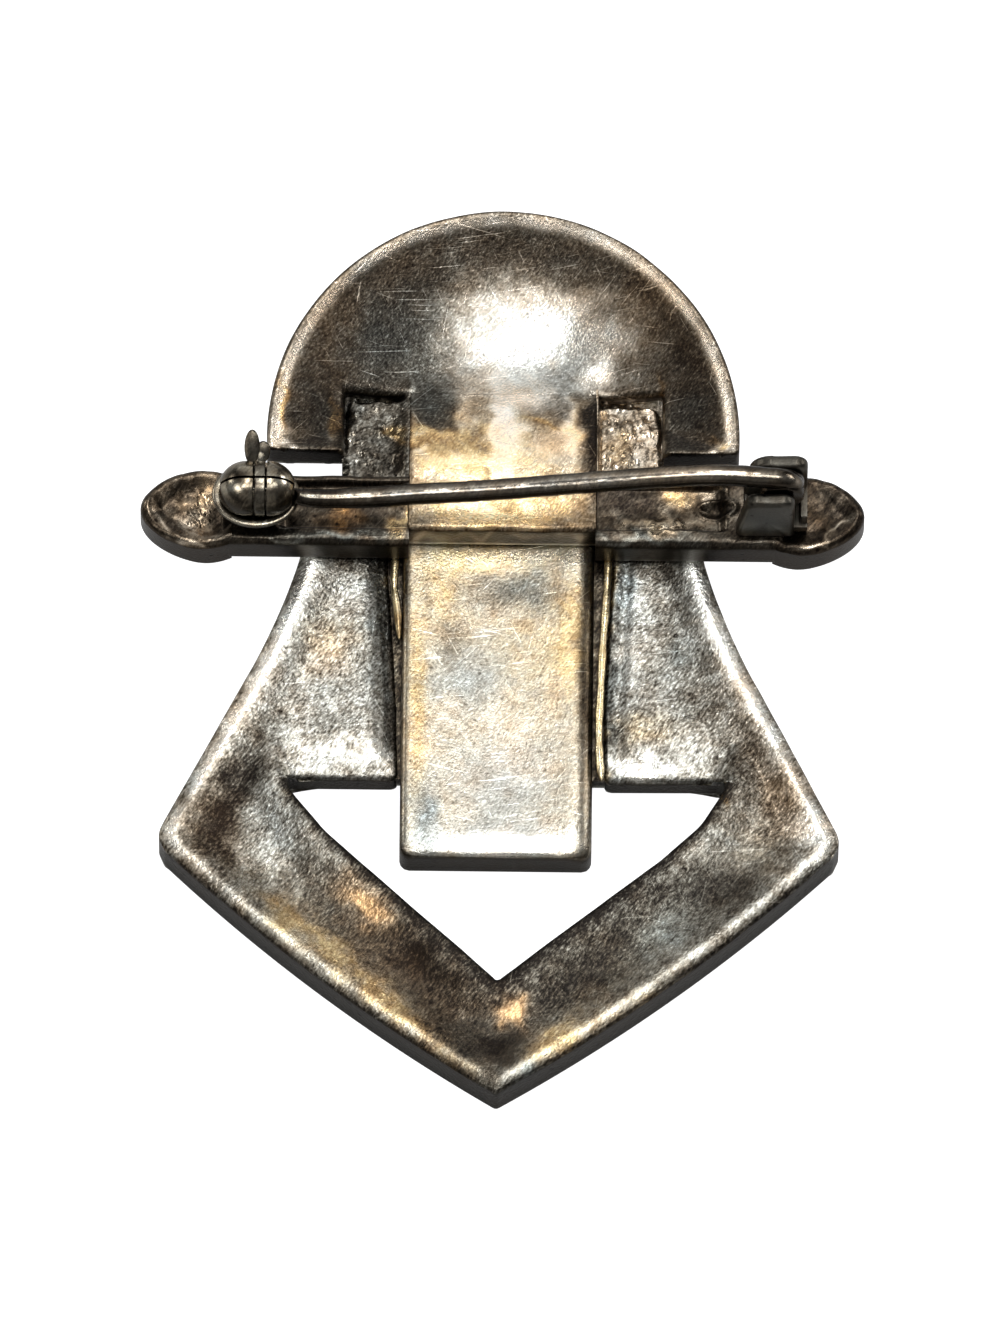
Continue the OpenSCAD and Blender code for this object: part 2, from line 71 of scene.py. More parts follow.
# Sum of soft ovals in picture pixels. A row is x, y, half width, half height, turn and amount,
# and an oval's weight is exp(-1.4 r^2) with r the distance in half widths. Small waves, sway
# pixels high, make the ovals' outlines uneven.
def softOvals(points, rows, sway=4.0):
    across, down = pictureCoords(points)
    across = across + sway * handWaves(points[:, :2], 1.3, 1.0, 61)
    down = down + sway * handWaves(points[:, :2], 1.3, 1.0, 62)
    total = np.zeros(len(points))
    for px, py, halfWide, halfHigh, turn, amount in rows:
        c, s = np.cos(np.radians(turn)), np.sin(np.radians(turn))
        a = ((across - px) * c + (down - py) * s) / halfWide
        b = ((down - py) * c - (across - px) * s) / halfHigh
        total += amount * np.exp(-1.4 * (a * a + b * b))
    return total


# Points of an arc about a centre, from one angle to another, in degrees.
def arcPoints(centre, radius, start, end, count):
    angle = np.radians(np.linspace(start, end, count))
    return np.stack([centre[0] + radius * np.cos(angle), centre[1] + radius * np.sin(angle)], 1)


# A line with each inner corner cut off at a distance and replaced by a parabola.
def roundPath(points, cut, steps=7):
    points = [np.array(p, float) for p in points]
    out = [points[0][None]]
    t = np.linspace(0, 1, steps)[:, None]
    for before, corner, after in zip(points, points[1:], points[2:]):
        a = corner + (before - corner) * min(0.45, cut / np.linalg.norm(before - corner))
        b = corner + (after - corner) * min(0.45, cut / np.linalg.norm(after - corner))
        out.append((1 - t) ** 2 * a + 2 * t * (1 - t) * corner + t ** 2 * b)
    out.append(points[-1][None])
    return np.concatenate(out)


# Length along a line up to each of its points: the running sum of its steps.
def runLength(path):
    return np.concatenate([[0], np.cumsum(np.linalg.norm(np.diff(path, axis=0), axis=1))])


# Points at given distances along a line.
def pointsAt(path, along):
    run = runLength(path)
    return np.stack([np.interp(along, run, path[:, k]) for k in range(path.shape[1])], 1)


# Distance along a line of its vertex nearest to a point.
def alongAt(path, point):
    return runLength(path)[np.argmin(np.linalg.norm(path - np.array(point), axis=1))]


# Shortest distance of many plan points from a line, worked out in blocks.
def distanceTo(path, xy):
    a, b = path[:-1], path[1:]
    d = b - a
    length = np.maximum((d ** 2).sum(1), 1e-12)
    out = np.empty(len(xy))
    for k in range(0, len(xy), 4000):
        rel = xy[k:k + 4000, None] - a[None]
        t = np.clip((rel * d[None]).sum(2) / length, 0, 1)
        out[k:k + 4000] = np.sqrt((((rel - t[..., None] * d[None]) ** 2).sum(2)).min(1))
    return out


# Rises from 0 to 1 between two values, as 3 t^2 - 2 t^3.
def smoothStep(low, high, value):
    t = np.clip((value - low) / (high - low), 0, 1)
    return t * t * (3 - 2 * t)


# Fall of a rounded edge at a distance in from it: a quarter ellipse, as wide as asked or as deep.
def edgeFall(distance, deep, wide=None):
    short = np.clip(1 - distance / (wide or deep), 0, 1)
    return deep * (1 - np.sqrt(np.maximum(1 - short ** 2, 0)))


# Fall of a worn shoulder: a slope that steepens towards the edge as a power of the way left.
def edgeSlope(distance, deep, wide, power):
    return deep * np.clip(1 - distance / wide, 0, 1) ** power


# Weight of a soft line at a place: exp(-((distance - place) / width)^2).
def softLine(distance, place, wide):
    return np.exp(-((distance - place) / wide) ** 2)


# Weight of a soft spot on the plan: exp(-r^2), with r the distance in half widths and half heights.
def softSpot(xy, x, y, wide, high):
    return np.exp(-(((xy[:, 0] - x) / wide) ** 2 + ((xy[:, 1] - y) / high) ** 2))


# Gentle unevenness of hand-finished metal: a sum of plane waves with fixed directions.
def handWaves(xy, wave, height, seed, count=9):
    rng = np.random.default_rng(seed)
    out = np.zeros(len(xy))
    for _ in range(count):
        turn, phase, size = rng.uniform(0, np.pi), rng.uniform(0, 2 * np.pi), rng.uniform(0.6, 1.7)
        k1 = 2 * np.pi / (wave * size)
        out += np.sin(k1 * (xy[:, 0] * np.cos(turn) + xy[:, 1] * np.sin(turn)) + phase) * size
    return out * height / np.sqrt(count)


# Quads of a grid whose rows run along u and whose columns run along v.
def gridQuads(nu, nv, first=0):
    corner = first + np.arange(nu - 1)[:, None] * nv + np.arange(nv - 1)
    return np.stack([corner, corner + nv, corner + nv + 1, corner + 1], -1).reshape(-1, 4)


# Steps across a strip: fine ones that follow the rounding of both edges, even ones between.
def acrossSteps(length, roundA, roundB, middle):
    turn = np.linspace(0, np.pi / 2, 8)
    near, far = roundA * (1 - np.cos(turn)), roundB * (1 - np.cos(turn))
    even = np.linspace(0, 1, middle)[1:-1]
    length = np.asarray(length)[:, None]
    low, high = near[-1] / length, 1 - far[-1] / length
    between = low + (high - low) * even[None]
    return np.concatenate([near[None] / length, between, 1 - far[None, ::-1] / length], 1)


# A grid laid between two lines whose points are matched at given pairs.
def pairedGrid(outer, inner, pairs, count, roundA, roundB, middle):
    a = np.array([alongAt(outer, p[0]) for p in pairs])
    b = np.array([alongAt(inner, p[1]) for p in pairs])
    weight = np.cumsum(np.concatenate([[0], np.hypot(np.diff(a), np.diff(b))]))
    u = np.linspace(0, weight[-1], count)
    p, q = pointsAt(outer, np.interp(u, weight, a)), pointsAt(inner, np.interp(u, weight, b))
    v = acrossSteps(np.linalg.norm(p - q, axis=1), roundA, roundB, middle)
    return p[:, None] * (1 - v[..., None]) + q[:, None] * v[..., None]


# A smooth curve through a route's points (Catmull-Rom), as a whole array.
def smoothRoute(route, perStep):
    p = np.array(route, float)
    p = np.concatenate([p[:1], p, p[-1:]])
    t = np.linspace(0, 1, perStep, endpoint=False)[None, :, None]
    a, b, c, d = (p[k:len(p) - 3 + k, None] for k in range(4))
    square, cube = 2 * a - 5 * b + 4 * c - d, 3 * b - a - 3 * c + d
    curve = 0.5 * (2 * b + t * (c - a) + t ** 2 * square + t ** 3 * cube)
    return np.concatenate([curve.reshape(-1, 3), p[-1:]])


# Even angles of a full turn.
def fullTurn(count):
    return np.linspace(0, 2 * np.pi, count, endpoint=False)


# Vectors divided by their lengths.
def directions(rows):
    return rows / np.linalg.norm(rows, axis=1)[:, None]


# Rings about a path: the cosine of the turn goes with one direction and its sine with another.
def ringsAbout(path, radius, first, second, sides):
    turn = fullTurn(sides)[None, :, None]
    return path[:, None] + radius.reshape(-1, 1, 1) * (np.cos(turn) * first + np.sin(turn) * second)


# A rectangular grid with fine steps at its edges.
def boxGrid(x0, x1, y0, y1, nx, ny, radius):
    u = acrossSteps([x1 - x0], radius, radius, nx)[0]
    v = acrossSteps([y1 - y0], radius, radius, ny)[0]
    x, y = np.meshgrid(x0 + (x1 - x0) * u, y0 + (y1 - y0) * v, indexing="ij")
    return np.stack([x, y], -1)


# Gives a mesh its points in metres, its faces and smooth shading. Faces are one array of quads, or
# a list where triangles are among them.
def makeMesh(name, points, faces, body="brooch", sharp=50):
    mesh = bpy.data.meshes.new(name)
    placed = (np.asarray(points, float) + [0, barAboveOrigin, 0]) * mm
    if isinstance(faces, np.ndarray):
        mesh.vertices.add(len(placed))
        mesh.vertices.foreach_set("co", placed.ravel())
        mesh.loops.add(faces.size)
        mesh.loops.foreach_set("vertex_index", faces.ravel().astype(np.int32))
        mesh.polygons.add(len(faces))
        mesh.polygons.foreach_set("loop_start", np.arange(0, faces.size, faces.shape[1], dtype=np.int32))
        mesh.update(calc_edges=True)
    else:
        mesh.from_pydata(placed.tolist(), [], faces)
    mesh.validate()
    mesh.polygons.foreach_set("use_smooth", np.ones(len(mesh.polygons), bool))
    mesh.set_sharp_from_angle(angle=np.radians(sharp))
    piece = bpy.data.objects.new(name, mesh)
    bpy.context.scene.collection.objects.link(piece)
    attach(piece, body)
    return piece


# A closed solid from a plan sheet: its back and front heights, and walls round its open edges,
# which are the edges that only one quad has.
def sheetSolid(name, xy, quads, back, front, wallRows=5):
    count = len(xy)
    area = np.cross(xy[quads[:, 1]] - xy[quads[:, 0]], xy[quads[:, 2]] - xy[quads[:, 1]]).sum()
    if area < 0:
        quads = quads[:, ::-1]
    edges = np.stack([quads, np.roll(quads, -1, 1)], -1).reshape(-1, 2)
    key = np.sort(edges, 1) @ np.array([count, 1])
    _, first, times = np.unique(key, return_index=True, return_counts=True)
    rim = edges[first[times == 1]]
    loop = np.unique(rim)
    place = np.full(count, -1)
    place[loop] = np.arange(len(loop))
    points = [np.column_stack([xy, back]), np.column_stack([xy, front])]
    rows = [loop]
    for k in range(1, wallRows):
        t = k / wallRows
        points.append(np.column_stack([xy[loop], back[loop] * (1 - t) + front[loop] * t]))
        rows.append(2 * count + (k - 1) * len(loop) + np.arange(len(loop)))
    rows.append(count + loop)
    a, b = place[rim[:, 0]], place[rim[:, 1]]
    walls = [np.stack([upper[b], upper[a], lower[a], lower[b]], 1) for upper, lower in zip(rows, rows[1:])]
    return makeMesh(name, np.concatenate(points), np.concatenate([quads, count + quads[:, ::-1]] + walls))


# Rings of points joined into a closed solid, with a fan at either end where asked.
def ringSolid(name, rings, body="brooch", ends=True, sharp=50):
    rings = np.asarray(rings, float)
    nu, nv = rings.shape[:2]
    points = rings.reshape(-1, 3)
    u, v = np.arange(nu - 1)[:, None], np.arange(nv)[None]
    w = (v + 1) % nv
    quads = np.stack([u * nv + v, u * nv + w, (u + 1) * nv + w, (u + 1) * nv + v], -1).reshape(-1, 4)
    faces = quads.tolist()
    if ends:
        points = np.concatenate([points, rings[0].mean(0)[None], rings[-1].mean(0)[None]])
        k, last = np.arange(nv), (nu - 1) * nv
        faces += np.stack([np.full(nv, nu * nv), (k + 1) % nv, k], 1).tolist()
        faces += np.stack([np.full(nv, nu * nv + 1), last + k, last + (k + 1) % nv], 1).tolist()
    return makeMesh(name, points, faces, body, sharp)


# A value for each point of a piece, which its material reads by name.
def attribute(piece, name, values):
    layer = piece.data.attributes.new(name, "FLOAT", "POINT")
    layer.data.foreach_set("value", np.asarray(values, np.float32))


# The rows of a mesh's points ("co", in metres) or of their normals ("normal").
def vertexRows(piece, what):
    rows = np.empty(len(piece.data.vertices) * 3)
    piece.data.vertices.foreach_get(what, rows)
    return rows.reshape(-1, 3)


# What a piece's settings leave out of its paint. Patches are rows for softOvals.
plainPaint = {
    "gold": 0, "warm": 0, "wallShadeTone": 0.86, "wallUp": 0.5, "frontTone": 0.28, "sway": 4.0,
    "tonePatches": [],
    "goldPatches": [],
    "warmPatches": [],
    "wallLightAndShadePatches": [],
    "gritPatches": [],
}


# Tarnish, gold and warmth of a piece, with painted light and shade. Tone is 0 on bright metal and 1 on black:
# the settings' own plus the patches on the back, which hold painted highlights and shade as well as tarnish,
# and blended into a darker tone on steep walls as painted shade and into another tone on the hidden front.
def paintMetal(piece, settings, material, more=None):
    s = {**plainPaint, **settings}
    points = vertexRows(piece, "co") / mm - [0, barAboveOrigin, 0]
    up = vertexRows(piece, "normal")[:, 2]
    tone = s["tone"] + softOvals(points, s["tonePatches"], s["sway"])
    gold = s["gold"] + softOvals(points, s["goldPatches"], s["sway"])
    warm = s["warm"] + softOvals(points, s["warmPatches"])
    if more is not None:
        tone = tone + more(points)
    # Steep walls take a darker tone as painted shade; the wall patches paint lighter reflections and shadows
    # on them.
    wall = 1 - smoothStep(0.10, s["wallUp"], up)
    wallShadeTone = s["wallShadeTone"] + softOvals(points, s["wallLightAndShadePatches"])
    tone = np.clip(tone, 0.02, 1) * (1 - wall) + wallShadeTone * wall
    gold = gold * (1 - wall * 0.8)
    front = smoothStep(0.3, 0.8, -up)
    tone = tone * (1 - front) + s["frontTone"] * front
    grit = np.clip(1 + softOvals(points, s["gritPatches"]), 0, 1)
    attribute(piece, "grit", grit * (1 - 0.85 * wall))
    attribute(piece, "tone", np.clip(tone, 0, 1))
    attribute(piece, "gold", np.clip(gold, 0, 1) * (1 - front))
    attribute(piece, "warm", np.clip(warm, -1, 1) * (1 - front))
    piece.data.materials.append(material)


# A node tree and short names for what is built in it again and again.
class Tree:
    def __init__(self, tree):
        self.tree = tree

    # A new node of a kind, with its settings.
    def add(self, kind, **values):
        node = self.tree.nodes.new(kind)
        for key, value in values.items():
            setattr(node, key, value)
        return node

    # An output is linked to the socket; a number or a colour is set on it.
    def feed(self, socket, value):
        if isinstance(value, bpy.types.NodeSocket):
            self.tree.links.new(value, socket)
        else:
            socket.default_value = (*value, 1) if isinstance(value, tuple) else value

    # One sum of two values, kept between 0 and 1 where asked.
    def math(self, operation, a, b, clamp=False):
        node = self.add("ShaderNodeMath", operation=operation, use_clamp=clamp)
        self.feed(node.inputs[0], a)
        self.feed(node.inputs[1], b)
        return node.outputs[0]

    def plus(self, a, b, clamp=False):
        return self.math("ADD", a, b, clamp)

    def minus(self, a, b):
        return self.math("SUBTRACT", a, b)

    def times(self, a, b, clamp=False):
        return self.math("MULTIPLY", a, b, clamp)

    # Straight blends between stops, each a place and a grey value or a colour.
    def ramp(self, factor, stops):
        node = self.add("ShaderNodeValToRGB")
        ramp = node.color_ramp
        ramp.interpolation = "LINEAR"
        while len(ramp.elements) < len(stops):
            ramp.elements.new(0.5)
        for element, (place, value) in zip(ramp.elements, stops):
            element.position = place
            element.color = (*value, 1) if isinstance(value, tuple) else (value, value, value, 1)
        self.feed(node.inputs[0], factor)
        return node.outputs[0]

    # Fractal noise from 0 to 1: each octave is rough times as strong as the one before.
    def noise(self, vector, scale, detail=2, rough=0.5):
        node = self.add("ShaderNodeTexNoise")
        for key, value in {"Scale": scale, "Detail": detail, "Roughness": rough, "Vector": vector}.items():
            self.feed(node.inputs[key], value)
        return node.outputs["Fac"]

    # Coordinates turned about Z and then squeezed, so that a noise runs out along one direction.
    def turned(self, vector, degrees, stretch):
        turn, squeeze = self.add("ShaderNodeMapping"), self.add("ShaderNodeMapping")
        turn.inputs["Rotation"].default_value = (0, 0, np.radians(degrees))
        squeeze.inputs["Scale"].default_value = (1 / stretch, 1, 1 / stretch)
        self.feed(turn.inputs["Vector"], vector)
        self.feed(squeeze.inputs["Vector"], turn.outputs[0])
        return squeeze.outputs[0]

    # Two colours laid over each other by a factor.
    def mix(self, factor, a, b, blend="MIX"):
        node = self.add("ShaderNodeMix", data_type="RGBA", blend_type=blend)
        for place, value in ((0, factor), (6, a), (7, b)):
            self.feed(node.inputs[place], value)
        return node.outputs[2]


# A shared group with a vector and numbers going in, and numbers or a colour coming out.
def newGroup(name, given, made):
    group = bpy.data.node_groups.new(name, "ShaderNodeTree")
    group.interface.new_socket("Vector", in_out="INPUT", socket_type="NodeSocketVector")
    for label, value in given.items():
        socket = group.interface.new_socket(label, in_out="INPUT", socket_type="NodeSocketFloat")
        socket.default_value = value
    for label in made:
        kind = "NodeSocketColor" if label == "Color" else "NodeSocketFloat"
        group.interface.new_socket(label, in_out="OUTPUT", socket_type=kind)
    tree = Tree(group)
    return group, tree, tree.add("NodeGroupInput").outputs, tree.add("NodeGroupOutput").inputs


# Colours of bare silver and of its gold film, from bright to black, and tints from blue to brown.
silverStops = [(0, (0.90, 0.90, 0.885)), (0.22, (0.68, 0.68, 0.66)), (0.42, (0.39, 0.385, 0.365)),
               (0.62, (0.165, 0.158, 0.142)), (0.82, (0.052, 0.047, 0.040)), (1, (0.013, 0.011, 0.010))]
goldStops = [(0, (1.0, 0.90, 0.66)), (0.22, (0.86, 0.72, 0.45)), (0.42, (0.58, 0.455, 0.26)),
             (0.62, (0.27, 0.19, 0.10)), (0.82, (0.085, 0.058, 0.033)), (1, (0.014, 0.012, 0.010))]
tintStops = [(0, (0.88, 1.0, 1.06)), (0.5, (1, 1, 0.96)), (1, (1.22, 0.95, 0.70))]


# Colour of tarnished metal. Broad and fine noise times the mottle sways the tone, sparkle lifts or
# sinks single grains, a stained gold film lies over the silver, and warmth turns it blue or brown.
def buildTarnish():
    group, tree, given, out = newGroup("silverTarnish", {
        "Tone": 0.4, "Gold": 0.0, "Warm": 0.0, "Mottle": 0.35, "Sparkle": 0.3}, ["Color", "Tone"])
    place = given["Vector"]
    broad = tree.ramp(tree.noise(place, 1250, 6, 0.68), [(0.38, 0.33), (0.62, 0.67)])
    fine = tree.noise(tree.turned(place, -55, 2.6), 8500, 4, 0.6)
    sway = tree.plus(tree.minus(broad, 0.5), tree.times(tree.minus(fine, 0.5), 2.0))
    dust = tree.noise(tree.turned(place, -50, 1.8), 10500, 2, 0.5)
    lift, sink = tree.ramp(dust, [(0.33, 0.7), (0.46, 0.0)]), tree.ramp(dust, [(0.55, 0.0), (0.68, 1.0)])
    glint = tree.minus(lift, sink)
    tone = tree.plus(given["Tone"], tree.times(sway, given["Mottle"]))
    tone = tree.plus(tone, tree.times(glint, given["Sparkle"]), clamp=True)
    lean = tree.plus(given["Warm"], tree.times(tree.minus(tree.noise(place, 620, 5, 0.65), 0.5), 1.5))
    tint = tree.ramp(tree.plus(tree.times(lean, 0.5), 0.5, clamp=True), tintStops)
    stain = tree.ramp(tree.noise(place, 1500, 5, 0.65), [(0.40, 0.75), (0.56, 1.2)])
    film = tree.times(given["Gold"], stain, clamp=True)
    metal = tree.mix(film, tree.ramp(tone, silverStops), tree.ramp(tone, goldStops))
    tree.feed(out["Color"], tree.mix(1.0, metal, tint, "MULTIPLY"))
    tree.feed(out["Tone"], tone)
    return group


# Directions of the scratches in degrees, how far each is stretched, and the noise it starts at.
streaks = ((-8, 30, 0.66), (62, 22, 0.69), (-48, 26, 0.69), (100, 24, 0.70), (14, 34, 0.69))


# Fine scratches: thin streaks of stretched noise, the strongest of them at each place.
def buildScratches():
    group, tree, given, out = newGroup("fineScratches", {"Scale": 7500.0, "Amount": 0.5}, ["Mask", "Height"])
    marks = None
    for turn, stretch, edge in streaks:
        streak = tree.noise(tree.turned(given["Vector"], turn, stretch), given["Scale"], 2, 0.6)
        line = tree.ramp(streak, [(edge, 0.0), (edge + 0.05, 1.0)])
        marks = line if marks is None else tree.math("MAXIMUM", marks, line)
    mask = tree.times(marks, given["Amount"])
    tree.feed(out["Mask"], mask)
    tree.feed(out["Height"], tree.times(mask, -1.0))
    return group


# Grain of a cast surface: close noise, less round pits where a broad noise lets them be.
def buildGrain():
    group, tree, given, out = newGroup("castGrain", {"Scale": 7000.0, "Pits": 0.4}, ["Height", "Pit"])
    grain = tree.noise(given["Vector"], given["Scale"], 3, 0.65)
    cells = tree.add("ShaderNodeTexVoronoi", feature="F1")
    tree.feed(cells.inputs["Vector"], given["Vector"])
    tree.feed(cells.inputs["Scale"], tree.times(given["Scale"], 0.28))
    dot = tree.ramp(cells.outputs["Distance"], [(0.10, 1.0), (0.24, 0.0)])
    where = tree.ramp(tree.noise(given["Vector"], 800, 2, 0.5), [(0.48, 0.0), (0.62, 1.0)])
    pit = tree.times(tree.times(dot, where), given["Pits"])
    tree.feed(out["Height"], tree.minus(grain, pit))
    tree.feed(out["Pit"], pit)
    return group


tarnishGroup, scratchGroup, grainGroup = buildTarnish(), buildScratches(), buildGrain()

# What a finish leaves out: how far roughness rises with the tone, the bump's depth in metres, the
# grain's scale, and how much scratches lighten and dent the metal and pits darken it.
plainFinish = {
    "toneRough": 0.12, "bumpDepth": 0.00004, "grainScale": 7000.0, "scratchTone": 0.35, "scratchDent": 0.25,
    "pitTone": 0.5,
}


# A worn metal. Its tone, gold, warmth and grit come from the piece's attributes: the tone is
# lighter along scratches and darker in pits, and grit scales the mottle, sparkle and scratches.
def metalFinish(name, finish):
    f = {**plainFinish, **finish}
    material = bpy.data.materials.new(name)
    material.use_nodes = True
    material.node_tree.nodes.clear()
    tree = Tree(material.node_tree)
    surface = tree.add("ShaderNodeBsdfPrincipled")
    tree.feed(tree.add("ShaderNodeOutputMaterial").inputs[0], surface.outputs[0])
    place = tree.add("ShaderNodeTexCoord").outputs["Object"]

    # A shared group laid over the object's own coordinates.
    def placed(group, **values):
        node = tree.add("ShaderNodeGroup", node_tree=group)
        for key, value in {"Vector": place, **values}.items():
            tree.feed(node.inputs[key], value)
        return node.outputs

    tone, gold, warm, grit = (tree.add("ShaderNodeAttribute", attribute_name=label).outputs["Fac"]
                              for label in ("tone", "gold", "warm", "grit"))
    scratches = placed(scratchGroup, Amount=f["scratches"])
    grain = placed(grainGroup, Scale=f["grainScale"], Pits=f["pits"])
    tone = tree.minus(tone, tree.times(tree.times(scratches["Mask"], f["scratchTone"]), grit))
    tone = tree.plus(tone, tree.times(grain["Pit"], f["pitTone"]))
    tarnish = placed(tarnishGroup, Tone=tone, Gold=gold, Warm=warm, Mottle=tree.times(grit, f["mottle"]),
                     Sparkle=tree.times(grit, f["sparkle"]))
    dent = tree.times(tree.times(scratches["Height"], f["scratchDent"]), grit)
    bump = tree.add("ShaderNodeBump")
    tree.feed(bump.inputs["Strength"], f["bump"])
    tree.feed(bump.inputs["Distance"], f["bumpDepth"])
    tree.feed(bump.inputs["Height"], tree.plus(dent, grain["Height"]))
    tree.feed(surface.inputs["Base Color"], tarnish["Color"])
    tree.feed(surface.inputs["Roughness"], tree.plus(f["rough"], tree.times(tarnish["Tone"], f["toneRough"])))
    tree.feed(surface.inputs["Normal"], bump.outputs[0])
    surface.inputs["Metallic"].default_value = 1
    return material


finishes = {
    "shieldSilver": {
        "rough": 0.24, "mottle": 0.56, "sparkle": 0.16, "bump": 0.8, "bumpDepth": 0.00006,
        "grainScale": 5200.0, "scratches": 0.55, "pits": 0.3},
    "domeSilver": {
        "rough": 0.22, "mottle": 0.24, "sparkle": 0.16, "bump": 0.7, "bumpDepth": 0.00005,
        "scratches": 0.85, "pits": 0.25},
    "columnSilver": {
        "rough": 0.24, "mottle": 0.22, "sparkle": 0.1, "bump": 0.6, "scratches": 0.8, "pits": 0.25},
    "barSilver": {
        "rough": 0.19, "mottle": 0.26, "sparkle": 0.06, "bump": 0.4, "scratches": 0.3, "pits": 0.4},
    "solderedStrap": {
        "rough": 0.2, "mottle": 0.45, "sparkle": 0.2, "bump": 0.75, "bumpDepth": 0.0001,
        "grainScale": 1900.0, "scratches": 0.1, "pits": 0.6},
    "hingeSteel": {
        "rough": 0.27, "mottle": 0.2, "sparkle": 0.05, "bump": 0.3, "scratches": 0.2, "pits": 0.3},
    "pinWire": {
        "rough": 0.17, "toneRough": 0.05, "mottle": 0.2, "sparkle": 0.04, "bump": 0.2, "scratches": 0.0,
        "pits": 0.2},
    "catchNickel": {
        "rough": 0.2, "mottle": 0.2, "sparkle": 0.03, "bump": 0.12, "scratches": 0.2, "pits": 0.1,
        "toneRough": 0.06},
}
metals = {name: metalFinish(name, finish) for name, finish in finishes.items()}
print("finishes made")
